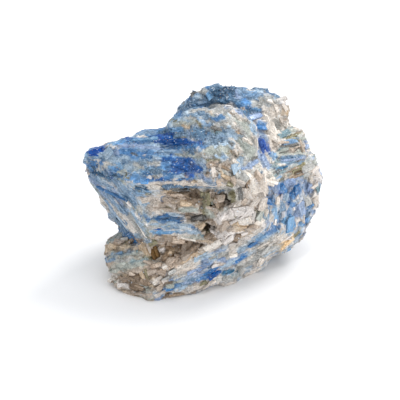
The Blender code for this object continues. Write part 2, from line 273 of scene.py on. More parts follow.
paper = Finish("table_white")
grain = paper.noise(paper.place(), PAPER_GRAIN)
paper.surface(Base_Color=PAPER_WHITE, Roughness=SMOOTHEST + ROUGHER * grain)
table.data.materials.append(paper.material)
print("table finish:", len(paper.tree.nodes), "nodes")

# %% [markdown]
# ## The minerals
#
# Each mineral has a main colour, a second one for its veils and cloudy parts, how glossy it is, how
# much it glitters, how far it stands out in millimetres, and whether it grows as blades, as flakes
# of mica, as grains or as blocks. How much it glitters also sets its painted glints and its spots
# of painted shade. One picture could hold the colours too, but then they would stop where the
# picture stops. The colours are written as they look, from 0 to 255, and made linear here.

# %% Palette
MINERALS = {
    "deep_blue": ((0, 68, 142), (10, 94, 166), 0.9, 0.8, 0, "blade"),
    "indigo": ((0, 60, 148), (14, 88, 166), 0.9, 0.3, 0, "blade"),
    "deep_slate": ((34, 70, 104), (84, 120, 150), 0.7, 0.9, 0, "grain"),
    "deep_teal": ((18, 86, 128), (72, 128, 160), 0.9, 0.4, 0, "blade"),
    "blue": ((40, 98, 156), (92, 140, 186), 0.8, 0.5, 0, "blade"),
    "bright_blue": ((66, 132, 200), (126, 174, 218), 0.9, 0.4, 0, "blade"),
    "sky_blue": ((86, 138, 184), (138, 176, 208), 0.8, 0.4, 0, "blade"),
    "grey_blue": ((92, 124, 158), (144, 170, 194), 0.6, 0.4, 0, "blade"),
    "pale_blue": ((138, 164, 188), (182, 200, 214), 0.8, 0.3, 0.1, "blade"),
    "slate": ((64, 96, 128), (120, 146, 168), 0.6, 0.9, 0, "grain"),
    "violet": ((34, 70, 152), (92, 128, 190), 0.9, 0.3, 0, "blade"),
    "lavender": ((114, 136, 174), (160, 178, 204), 0.6, 0.3, 0, "blade"),
    "teal": ((92, 124, 138), (146, 166, 170), 0.8, 0.3, 0, "blade"),
    "green_grey": ((148, 154, 148), (190, 194, 186), 0.7, 0.3, 0, "blade"),
    "ash": ((154, 154, 152), (198, 197, 192), 0.5, 0.5, 0, "grain"),
    "cream": ((206, 196, 184), (232, 226, 219), 0.6, 0.4, 0.1, "blade"),
    "sand": ((190, 178, 166), (219, 211, 203), 0.5, 0.5, 0.1, "grain"),
    "quartz": ((208, 200, 194), (236, 230, 226), 0.8, 0.5, 0.2, "block"),
    "beige": ((168, 150, 134), (204, 190, 176), 0.4, 0.4, 0, "flake"),
    "tan": ((182, 156, 126), (214, 196, 172), 0.5, 0.4, 0, "flake"),
    "brown": ((122, 102, 82), (168, 148, 128), 0.5, 0.4, -0.3, "flake"),
    "buff": ((172, 150, 130), (208, 192, 176), 0.5, 0.4, -0.1, "flake"),
    "dark_brown": ((52, 40, 28), (96, 80, 60), 0.4, 0.1, -1.2, "flake"),
    "amber": ((84, 58, 22), (132, 98, 48), 0.9, 0.1, -0.5, "flake"),
    "gold": ((220, 182, 130), (242, 220, 186), 0.9, 0.6, 0.1, "flake"),
    "dark_grey": ((84, 82, 80), (132, 130, 126), 0.6, 0.4, -0.3, "flake"),
    "olive": ((108, 102, 72), (154, 148, 120), 0.6, 0.3, -0.1, "flake"),
}
HABITS = ("blade", "flake", "grain", "block")


def linear(colour):
    """A screen colour as the linear one that the shader needs."""
    value = np.asarray(colour, float) / 255
    return np.where(value <= 0.04045, value / 12.92, ((value + 0.055) / 1.055) ** 2.4)


MINERAL_NAMES = list(MINERALS)
MAIN = np.array([linear(facts[0]) for facts in MINERALS.values()])
SECOND = np.array([linear(facts[1]) for facts in MINERALS.values()])
GLOSS, GLITTER, RISE = np.array([facts[2:5] for facts in MINERALS.values()], float).T
HABIT = np.array([[facts[5] == habit for habit in HABITS] for facts in MINERALS.values()], float)
print(len(MINERAL_NAMES), "minerals")

# %% [markdown]
# ## Sheaves
#
# Kyanite grows in sheaves, and all the blades of one run the same way. Each sheaf below has a place,
# how far it reaches, the way its blades run, the way their broad faces look, the usual length, width
# and thickness of a blade, and the minerals that fill it wherever nothing else is named. One grain
# for the whole rock would be simpler, but it would look like wood.

# %% Sheaves of blades, in millimetres
SHEAVES = {
    "plate": (
        (-14, -4.5, 34), 9, (1, -0.12, -0.05), (-0.2, -0.75, 0.62), (5.5, 1, 1),
        "grey_blue pale_blue blue sky_blue",
    ),
    "plate_top": (
        (-12, 1, 37.5), 7, (1, -0.05, 0.05), (0, -0.3, 0.95), (6, 1.1, 1),
        "sky_blue blue grey_blue",
    ),
    "plate_back": (
        (-16, 6, 32), 8, (1, 0.1, -0.1), (-0.3, 0.8, 0.5), (7, 1.4, 1.2),
        "grey_blue blue pale_blue beige",
    ),
    "fan": (
        (-20, -5, 20), 9, (0.62, -0.4, -0.68), (-0.7, -0.62, -0.3), (8, 0.9, 0.9),
        "grey_blue lavender pale_blue cream green_grey",
    ),
    "foot": (
        (-19, -11, 6), 7, (0.93, -0.2, 0.2), (-0.3, -0.6, 0.74), (3.2, 1.2, 0.8),
        "beige brown green_grey tan",
    ),
    "foot_back": (
        (-19, 2, 6), 7, (0.7, 0.5, 0.3), (-0.6, 0.6, 0.4), (5, 1.4, 1),
        "beige grey_blue green_grey brown",
    ),
    "cavity": (
        (-5, -12, 11), 6, (0.8, 0.3, 0.2), (0.1, -0.8, 0.6), (1.7, 1.3, 0.8),
        "buff beige brown tan",
    ),
    "undercut": (
        (-3, -10.5, 25), 7, (1, 0, 0.05), (0, -0.9, -0.3), (1.8, 1.2, 0.9),
        "beige sand tan brown",
    ),
    "ledge": (
        (-8, -11.5, 17.5), 5.5, (1, 0.02, -0.14), (-0.1, -0.96, 0.2), (6.5, 1, 1),
        "pale_blue green_grey cream blue",
    ),
    "knot": (
        (8, -13, 19), 6, (0.7, 0.1, 0.7), (0, -0.96, -0.1), (2.6, 2, 1.6),
        "quartz sand quartz beige",
    ),
    "slab": (
        (-1, -14, 4), 8, (0.87, 0.47, 0.12), (0.35, -0.92, 0.1), (6, 1, 1),
        "cream grey_blue lavender pale_blue beige",
    ),
    "slab_right": (
        (15, -8, 9), 8, (0.8, 0.5, 0.33), (0.55, -0.8, -0.1), (5, 1, 1),
        "ash cream pale_blue sand grey_blue",
    ),
    "flank": (
        (20.5, -5.5, 18), 8, (0.15, 0.1, 1), (0.68, -0.73, 0), (2.4, 1.1, 1.1),
        "grey_blue sand blue pale_blue quartz sky_blue lavender ash",
    ),
    "edge": (
        (28, 3, 20), 6, (0.2, 0.3, 0.9), (0.8, -0.5, 0.2), (2.2, 1.8, 1.6),
        "quartz sand lavender grey_blue",
    ),
    "ribs": (
        (22.5, 0, 31.5), 7, (0.78, 0.55, -0.12), (0.55, -0.55, 0.62), (5.5, 0.9, 1.2),
        "ash green_grey teal sand",
    ),
    "shoulder": (
        (17, 0, 37), 6, (0.4, -0.5, -0.6), (0.2, -0.6, 0.7), (2.6, 1.3, 1.2),
        "cream sand ash",
    ),
    "hump": (
        (4, -6, 40), 8, (0.7, -0.45, -0.55), (0.1, -0.6, 0.79), (2.6, 1.1, 1),
        "ash green_grey grey_blue pale_blue sand",
    ),
    "hump_low": (
        (7, -11, 34), 6, (0.6, -0.3, -0.7), (0.1, -0.7, 0.6), (2.2, 1.3, 1.1),
        "sand green_grey cream ash",
    ),
    "crest": (
        (6, 7.5, 45), 10, (0.9, 0.1, -0.3), (0, -0.45, 0.89), (1.7, 1.1, 1),
        "slate slate grey_blue blue",
    ),
    "back": (
        (0, 17, 22), 13, (0.85, 0.1, 0.5), (0, 0.98, 0.1), (7, 1.5, 1.2),
        "grey_blue beige blue pale_blue sand",
    ),
    "back_low": (
        (2, 14, 6), 10, (0.9, 0.2, 0.15), (0, 0.98, -0.1), (4.5, 1.6, 1.2),
        "beige sand grey_blue brown cream",
    ),
    "back_top": (
        (4, 14, 40), 9, (0.8, 0.3, 0.2), (0, 0.6, 0.8), (4, 1.4, 1.2),
        "slate blue grey_blue ash",
    ),
    "right_back": (
        (22, 10, 16), 10, (-0.35, 0.55, 0.75), (0.9, 0.4, 0.1), (5, 1.4, 1.2),
        "grey_blue sand blue beige",
    ),
}


class Sheaf:
    """The frame in which one sheaf's blades are laid out."""

    def __init__(self, place, reach, along, out, blade, minerals):
        self.place = Vector(place)
        self.reach = reach
        self.along = Vector(along).normalized()
        self.side = Vector(out).cross(self.along).normalized()
        self.out = self.along.cross(self.side)
        self.blade = blade
        self.minerals = [MINERAL_NAMES.index(name) for name in minerals.split()]

    def to_blades(self, point, size=1.0):
        """A place in millimetres, counted in blades along, across and through the sheaf."""
        axes = zip((self.along, self.side, self.out), self.blade)
        return Vector([point.dot(axis) / (length * size) for axis, length in axes])

    def from_blades(self, counted, size=1.0):
        axes = zip((self.along, self.side, self.out), self.blade, counted)
        return sum((axis * (length * size * count) for axis, length, count in axes), Vector())


sheaves = [Sheaf(*facts) for facts in SHEAVES.values()]
print(len(sheaves), "sheaves")

# %% [markdown]
# ## Veins
#
# The show face has its own map of minerals. A vein is a stripe or a patch of one mineral. It runs
# between two places on the rock, which are found where the camera sees them, and it has a width.
# Where two veins meet they mix, as the minerals do. A vein reaches a few millimetres into the rock,
# so it ends on the sides, where the sheaves decide. Paint on a flat map would be quicker, but it
# would smear down the sides, and the blades could not take their colours from it.

# %% Places on the rock
PIXEL = FIELD / IMAGE_SIDE
WELD = 0.001 * MM


def merged_copy(source):
    """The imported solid's loose triangles, joined at their corners."""
    bm = bmesh.new()
    bm.from_mesh(source.data)
    bmesh.ops.remove_doubles(bm, verts=bm.verts, dist=WELD)
    return bm


def on_rock(u, v):
    """Where the camera sees the rock at a pixel, and the way the rock faces there."""
    across = right * ((u - IMAGE_SIDE / 2) * PIXEL) + up * ((IMAGE_SIDE / 2 - v) * PIXEL)
    ray = (LOOK_AT + across - camera.location).normalized()
    hit, normal = rock_tree.ray_cast(camera.location, ray)[:2]
    if hit is None:
        hit, normal = rock_tree.find_nearest(LOOK_AT + across)[:2]
    return hit, normal


rock_bm = merged_copy(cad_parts[NODE])
rock_tree = BVHTree.FromBMesh(rock_bm)
print("merged solid:", len(rock_bm.verts), "points")

# %% Veins of the blue minerals
# Every vein was drawn from and to, in pixels of the camera's picture, with its width in
# millimetres. Those of one mineral go over the rock from the tip of the plate to the bottom rim.
BLUE_VEINS = {
    "deep_blue": [
        (156, 137, 159, 133, 1.2), (149, 139, 152, 138, 0.6), (160, 142, 184, 142, 1.45),
        (156, 180, 164, 179, 0.5), (163, 158, 172, 157, 1.1), (172, 161, 190, 160, 1.6),
        (174, 168, 199, 168, 3), (184, 142, 200, 143, 1.6), (279, 192, 283, 196, 1.1),
        (151, 228, 160, 229, 0.65), (204, 276, 219, 269, 1.3),
    ],
    "indigo": [
        (90, 152, 101, 150, 2.3), (97, 148, 106, 147, 0.8), (104, 175, 107, 176, 0.6),
        (124, 138, 136, 138, 0.55), (160, 138, 169, 136, 1.5), (121, 148, 128, 148, 0.45),
        (190, 175, 194, 176, 0.9), (260, 126, 263, 127, 1),
    ],
    "deep_slate": [
        (90, 158, 101, 157, 0.9), (92, 171, 112, 176, 1.6), (100, 174, 110, 177, 0.8),
        (161, 133, 170, 130, 1.1), (196, 158, 198, 159, 0.6), (220, 129, 225, 130, 0.95),
        (196, 130, 202, 138, 3), (229, 158, 230, 160, 0.6), (194, 134, 207, 134, 2.5),
        (200, 128, 206, 134, 1.5), (184, 108, 194, 107, 1), (216, 90, 234, 90, 2.2), (213, 100, 234, 98, 2),
        (246, 105, 248, 106, 0.65), (244, 112, 250, 112, 0.9), (270, 165, 273, 168, 0.9),
        (155, 218, 165, 218, 0.7), (140, 186, 148, 189, 0.6), (130, 236, 139, 246, 0.6),
    ],
    "deep_teal": [
        (88, 163, 94, 163, 0.6), (278, 170, 288, 165, 0.9), (224, 273, 233, 272, 1.3),
    ],
    "blue": [
        (86, 152, 92, 148, 1), (86, 164, 95, 163, 1.6), (86, 165, 97, 163, 1.1), (118, 142, 158, 141, 1.3),
        (137, 139, 152, 138, 0.8), (153, 130, 165, 127, 1.2), (162, 147, 196, 147, 1.1),
        (128, 155, 136, 151, 1.2), (120, 140, 156, 139, 0.8), (120, 151, 126, 154, 1.5),
        (116, 169, 117, 177, 1.15), (129, 151, 134, 158, 1.4), (139, 158, 148, 156, 0.9),
        (142, 171, 149, 176, 1.3), (140, 153, 158, 153, 1.2), (165, 167, 170, 174, 2.1),
        (181, 179, 192, 178, 1.1), (214, 119, 223, 118, 1.1), (205, 134, 209, 133, 0.7),
        (190, 147, 206, 145, 1.2), (194, 104, 204, 105, 0.8), (219, 95, 222, 98, 0.55),
        (291, 196, 298, 190, 1.9), (279, 186, 286, 190, 1.7), (266, 200, 274, 203, 1.5),
        (288, 202, 294, 206, 1.4), (274, 226, 280, 222, 0.7), (144, 220, 172, 219, 0.85),
        (160, 222, 178, 222, 0.65), (189, 226, 194, 228, 0.6), (96, 185, 124, 198, 0.8),
        (118, 194, 130, 199, 0.5), (122, 228, 140, 246, 1.4), (254, 243, 278, 227, 0.8),
        (234, 264, 245, 256, 1.2), (203, 265, 212, 262, 0.7), (166, 289, 180, 285, 0.7),
        (208, 288, 214, 284, 0.45), (202, 279, 221, 266, 1.1), (198, 296, 210, 291, 0.5),
    ],
    "bright_blue": [
        (87, 164, 90, 163, 0.8), (120, 143, 136, 141, 0.6), (114, 167, 115, 172, 0.7),
        (132, 178, 149, 181, 1.65), (241, 102, 251, 104, 1.2), (258, 125, 266, 124, 1.8),
        (160, 233, 168, 233, 0.6),
    ],
    "sky_blue": [
        (110, 143, 118, 142, 1.1), (112, 140, 122, 139, 0.65), (110, 165, 122, 164, 0.6),
        (133, 175, 138, 176, 0.8), (209, 93, 212, 98, 1.3), (235, 105, 240, 103, 1.1),
        (254, 109, 259, 110, 0.75), (174, 115, 177, 117, 1), (270, 153, 274, 158, 1.1),
        (279, 181, 282, 177, 0.8), (267, 210, 268, 218, 0.65), (275, 208, 277, 221, 0.8),
        (286, 220, 292, 230, 2.1), (303, 224, 308, 218, 1.2), (253, 191, 258, 190, 0.8),
        (150, 232, 176, 232, 0.9), (258, 239, 266, 236, 0.8), (226, 275, 232, 276, 0.6),
        (284, 251, 291, 249, 0.65),
    ],
    "grey_blue": [
        (85, 156, 88, 154, 1.1), (143, 133, 153, 131, 1.2), (106, 152, 110, 151, 0.6),
        (130, 161, 146, 160, 1.3), (158, 152, 180, 152, 1.1), (206, 168, 210, 172, 1),
        (196, 186, 214, 187, 0.7), (207, 182, 230, 183, 0.8), (203, 122, 208, 125, 1.1),
        (208, 136, 224, 135, 1.7), (206, 113, 213, 119, 0.8), (242, 93, 262, 95, 2),
        (289, 105, 290, 111, 0.5), (188, 101, 206, 102, 1), (285, 143, 297, 140, 1.2),
        (281, 202, 284, 210, 1.5), (305, 210, 314, 204, 1.1), (300, 210, 308, 214, 1),
        (160, 228, 174, 228, 0.8), (188, 226, 198, 231, 1), (146, 219, 160, 218, 0.7),
        (90, 178, 108, 186, 0.8), (112, 180, 128, 188, 1.5), (122, 192, 136, 202, 2),
        (134, 196, 142, 196, 1.2), (108, 198, 124, 212, 1.5), (110, 212, 126, 230, 2),
        (114, 226, 124, 236, 1.2), (107, 259, 112, 254, 1), (107, 262, 116, 259, 0.8),
        (211, 257, 217, 252, 0.6), (250, 248, 262, 242, 0.9),
    ],
    "pale_blue": [
        (170, 126, 176, 124, 1.1), (151, 144, 162, 146, 0.7), (103, 152, 112, 157, 2.1),
        (109, 162, 127, 158, 1.2), (129, 166, 134, 169, 2.2), (150, 158, 160, 158, 0.9),
        (181, 174, 183, 175, 0.45), (201, 162, 204, 172, 1), (168, 149, 184, 150, 0.5),
        (180, 119, 190, 121, 1.3), (220, 144, 227, 140, 1.2), (229, 129, 238, 137, 1.5),
        (243, 158, 241, 166, 0.8), (231, 169, 240, 169, 1), (186, 113, 194, 110, 1),
        (197, 98, 202, 96, 0.75), (254, 91, 262, 92, 0.9), (251, 123, 254, 134, 1.1),
        (284, 195, 287, 200, 1), (264, 208, 265, 220, 0.8), (286, 218, 294, 228, 1),
        (142, 206, 148, 212, 1.2), (176, 225, 190, 226, 1.2), (176, 231, 200, 233, 0.9),
        (118, 183, 132, 186, 0.7), (138, 202, 149, 204, 1.8), (108, 208, 120, 224, 0.7),
        (130, 208, 146, 232, 1.2), (112, 210, 124, 224, 1), (199, 258, 212, 254, 1.1),
        (213, 259, 220, 253, 1.2), (238, 252, 252, 243, 1.6), (262, 243, 278, 230, 0.7),
        (224, 266, 234, 261, 1.2), (282, 232, 292, 234, 0.8),
    ],
    "slate": [
        (90, 171, 108, 177, 1.4), (172, 136, 188, 134, 1.7), (150, 172, 162, 175, 1.2),
        (143, 166, 148, 167, 1.2), (152, 171, 160, 171, 1.3), (186, 152, 194, 153, 1.2),
        (176, 188, 196, 188, 0.85), (204, 188, 212, 188, 0.45), (213, 191, 224, 191, 0.4),
        (194, 114, 206, 115, 1.6), (205, 144, 218, 141, 1.1), (208, 140, 214, 140, 0.8),
        (242, 169, 246, 167, 0.75), (210, 178, 220, 178, 0.75), (208, 136, 222, 140, 1),
        (194, 128, 208, 126, 0.8), (190, 102, 206, 103, 1.9), (210, 105, 220, 103, 0.9),
        (249, 95, 253, 94, 0.8), (178, 110, 186, 106, 1.5), (261, 172, 264, 174, 0.65),
        (280, 157, 300, 156, 0.5), (280, 163, 303, 162, 0.8), (279, 212, 281, 220, 0.6),
        (164, 217, 172, 218, 0.6), (128, 200, 135, 204, 0.8), (130, 189, 146, 193, 0.8),
        (118, 204, 128, 214, 0.8), (110, 220, 116, 230, 0.9), (114, 256, 134, 251, 1.1),
        (210, 268, 214, 267, 0.7), (186, 282, 202, 276, 0.9), (218, 284, 226, 282, 0.5),
        (172, 288, 190, 284, 0.8), (150, 295, 158, 297, 0.7), (186, 298, 204, 292, 0.6),
    ],
    "violet": [
        (102, 171, 111, 174, 1), (262, 141, 265, 151, 1.3), (268, 147, 269, 152, 0.7),
        (263, 153, 264, 158, 0.75),
    ],
    "lavender": [
        (188, 131, 189, 137, 0.55), (118, 146, 160, 147, 1.2), (112, 154, 118, 150, 1.2),
        (202, 176, 208, 181, 1.2), (242, 168, 257, 162, 1.2), (234, 108, 246, 118, 0.9),
        (222, 107, 234, 107, 0.6), (237, 89, 239, 98, 0.9), (262, 93, 272, 92, 0.6),
        (251, 118, 260, 114, 1.4), (259, 131, 264, 137, 1.3), (262, 156, 267, 166, 1.7),
        (257, 137, 259, 151, 0.8), (282, 159, 303, 158, 0.8), (304, 142, 310, 158, 1.3),
        (294, 180, 304, 180, 0.8), (306, 184, 312, 190, 1.3), (284, 182, 294, 178, 1.3),
        (268, 186, 277, 188, 1.5), (296, 216, 303, 202, 1.7), (304, 190, 308, 196, 1.2),
        (298, 212, 304, 204, 1.2), (288, 186, 300, 184, 1), (160, 198, 166, 200, 1), (88, 180, 112, 192, 2),
        (108, 206, 122, 222, 1), (226, 262, 238, 256, 0.6), (200, 267, 212, 261, 1.2),
        (174, 279, 200, 270, 0.7), (180, 285, 190, 281, 0.9),
    ],
    "teal": [
        (213, 131, 224, 133, 1.1), (279, 136, 290, 131, 1.6), (279, 149, 287, 147, 0.9),
        (276, 176, 284, 172, 0.8), (319, 188, 321, 194, 1.1), (200, 234, 206, 239, 0.9),
        (108, 243, 116, 238, 0.6), (130, 262, 146, 260, 0.8), (167, 276, 170, 276, 0.7),
        (233, 272, 237, 276, 0.9),
    ],
}
print("blue veins:", sum(map(len, BLUE_VEINS.values())))

# %% Veins of the pale minerals
PALE_VEINS = {
    "green_grey": [
        (177, 124, 192, 121, 1.5), (121, 167, 122, 178, 1.1), (134, 171, 138, 168, 1.1),
        (181, 155, 199, 157, 0.9), (238, 120, 248, 128, 1.7), (206, 152, 227, 149, 2),
        (242, 142, 252, 156, 2.5), (166, 122, 176, 124, 1), (288, 133, 294, 130, 1),
        (298, 134, 304, 132, 1), (279, 154, 303, 153, 0.8), (256, 214, 264, 216, 1.5),
        (229, 192, 236, 191, 0.6), (181, 210, 197, 210, 1.3), (206, 210, 212, 218, 1.3),
        (154, 225, 168, 224, 0.45), (184, 237, 198, 238, 1.1), (134, 206, 150, 236, 0.7),
        (110, 240, 120, 233, 1.1), (108, 270, 145, 263, 1.7), (112, 257, 136, 252, 1.3),
        (172, 284, 184, 279, 0.7),
    ],
    "ash": [
        (95, 166, 113, 164, 0.85), (110, 146, 118, 147, 1.1), (134, 165, 142, 168, 0.9),
        (151, 163, 159, 163, 1.5), (152, 176, 163, 176, 1.1), (197, 154, 206, 153, 1.1),
        (204, 188, 240, 189, 0.9), (189, 112, 204, 109, 0.9), (206, 109, 211, 107, 0.7),
        (212, 108, 224, 105, 1.2), (215, 111, 228, 110, 1.5), (226, 118, 234, 120, 1.3),
        (203, 119, 210, 119, 0.4), (220, 124, 232, 125, 1), (204, 156, 214, 156, 1.1),
        (251, 142, 256, 154, 1), (238, 176, 248, 178, 1.5), (188, 119, 200, 117, 1),
        (238, 126, 246, 134, 1.1), (214, 104, 234, 106, 1), (200, 91, 206, 92, 1.5),
        (254, 103, 262, 104, 1.8), (262, 100, 276, 103, 1.8), (264, 94, 284, 96, 1.2),
        (306, 150, 311, 162, 1.1), (307, 166, 312, 178, 1.8), (304, 198, 310, 204, 1.7),
        (300, 206, 306, 202, 0.7), (276, 206, 286, 200, 0.7), (254, 172, 262, 176, 1),
        (150, 192, 160, 194, 1.2), (152, 224, 176, 224, 0.75), (178, 223, 198, 224, 0.8),
        (225, 210, 232, 214, 1.2), (128, 186, 138, 190, 0.5), (138, 206, 148, 212, 1.5),
        (128, 212, 138, 226, 0.8), (134, 224, 146, 240, 1.1), (112, 202, 124, 218, 0.7),
        (116, 194, 130, 206, 0.6), (112, 242, 122, 234, 0.6), (118, 262, 132, 258, 0.9),
        (150, 292, 158, 290, 1), (218, 258, 230, 255, 1.2), (238, 268, 262, 256, 2.2),
        (258, 252, 278, 244, 2.2), (214, 282, 238, 276, 1.5), (264, 242, 276, 238, 1),
        (176, 276, 196, 272, 0.9), (208, 256, 226, 252, 0.9), (252, 248, 268, 240, 1),
        (186, 287, 198, 283, 0.8),
    ],
    "cream": [
        (91, 160, 100, 160, 0.4), (104, 163, 107, 163, 0.8), (140, 136, 146, 135, 0.6),
        (150, 186, 158, 188, 1.5), (128, 182, 150, 184, 0.7), (229, 106, 237, 109, 1),
        (232, 139, 235, 142, 0.8), (243, 139, 251, 141, 1), (232, 162, 238, 160, 1.2),
        (212, 173, 219, 173, 0.8), (247, 90, 250, 90, 0.4), (265, 110, 276, 112, 2.3),
        (262, 118, 280, 118, 1.5), (269, 124, 277, 136, 2.5), (261, 168, 268, 172, 1),
        (266, 173, 276, 178, 1.3), (277, 142, 288, 141, 0.6), (278, 165, 286, 164, 0.6),
        (315, 190, 316, 200, 1.1), (271, 206, 272, 219, 0.8), (262, 180, 276, 184, 1.6),
        (256, 222, 264, 220, 1), (174, 235, 190, 235, 1), (256, 226, 262, 221, 1), (100, 197, 110, 206, 1),
        (104, 200, 120, 216, 0.8), (121, 215, 134, 229, 1.7), (108, 200, 124, 218, 0.5),
        (109, 277, 117, 281, 1.2), (202, 250, 218, 244, 1.7), (180, 268, 196, 259, 1.4),
        (190, 265, 202, 258, 1), (229, 254, 236, 254, 1.1), (238, 244, 262, 228, 1.1),
        (276, 238, 290, 231, 1), (258, 249, 272, 243, 0.8),
    ],
    "sand": [
        (170, 178, 176, 178, 0.65), (152, 183, 182, 183, 0.8), (180, 184, 204, 184, 0.7),
        (234, 112, 244, 121, 1.4), (236, 146, 239, 151, 1), (222, 168, 226, 166, 0.6),
        (282, 123, 288, 122, 1), (276, 108, 286, 106, 1), (270, 142, 276, 149, 1.5),
        (293, 126, 303, 131, 1.2), (300, 132, 305, 134, 0.7), (292, 121, 302, 126, 1),
        (312, 184, 316, 188, 1.5), (318, 198, 319, 202, 1), (276, 198, 279, 204, 0.9),
        (298, 218, 302, 222, 1), (310, 200, 316, 196, 1.2), (300, 190, 306, 194, 0.8),
        (246, 194, 264, 195, 2.25), (246, 202, 264, 202, 2.25), (142, 200, 156, 198, 2.25),
        (144, 210, 160, 212, 1.7), (234, 205, 242, 203, 1.1), (176, 213, 184, 215, 1),
        (98, 183, 108, 187, 0.5), (199, 243, 208, 245, 0.9), (176, 272, 190, 266, 1),
        (180, 273, 196, 268, 0.8), (244, 262, 252, 258, 0.7), (252, 264, 270, 257, 1),
        (196, 288, 220, 282, 1.3), (270, 243, 286, 237, 1), (184, 289, 198, 285, 0.7),
        (151, 302, 162, 301, 1), (182, 294, 214, 290, 1.3), (214, 290, 234, 282, 1),
    ],
    "quartz": [
        (112, 147, 113, 148, 0.5), (153, 164, 156, 164, 0.7), (151, 179, 155, 179, 0.45),
        (143, 155, 144, 155, 0.45), (216, 186, 220, 183, 0.5), (236, 188, 239, 188, 0.5),
        (220, 104, 231, 104, 0.7), (217, 114, 220, 114, 0.65), (279, 101, 285, 103, 1.5),
        (314, 172, 320, 180, 2.25), (297, 197, 300, 200, 0.6), (292, 207, 294, 208, 0.6),
        (272, 220, 278, 224, 0.8), (253, 180, 260, 186, 1.6), (247, 198, 252, 198, 0.7),
        (146, 226, 150, 226, 0.8), (148, 231, 162, 230, 0.4), (234, 216, 250, 212, 2.75),
        (221, 217, 230, 214, 2), (221, 236, 226, 237, 1.5), (222, 229, 224, 231, 0.6),
        (224, 243, 234, 234, 1.7), (243, 238, 251, 236, 1), (162, 250, 163, 252, 0.7),
        (127, 203, 129, 206, 0.6), (143, 236, 147, 240, 0.5), (137, 214, 139, 218, 0.55),
        (118, 284, 128, 287, 0.9), (153, 283, 159, 280, 1.1), (164, 281, 170, 278, 1),
        (203, 244, 209, 246, 0.7), (232, 252, 235, 255, 0.6), (228, 249, 238, 243, 0.8),
        (242, 240, 250, 236, 0.8), (216, 263, 219, 263, 0.7), (252, 268, 258, 265, 0.8),
        (214, 282, 217, 281, 0.6), (284, 241, 291, 237, 0.7),
    ],
}
print("pale veins:", sum(map(len, PALE_VEINS.values())))

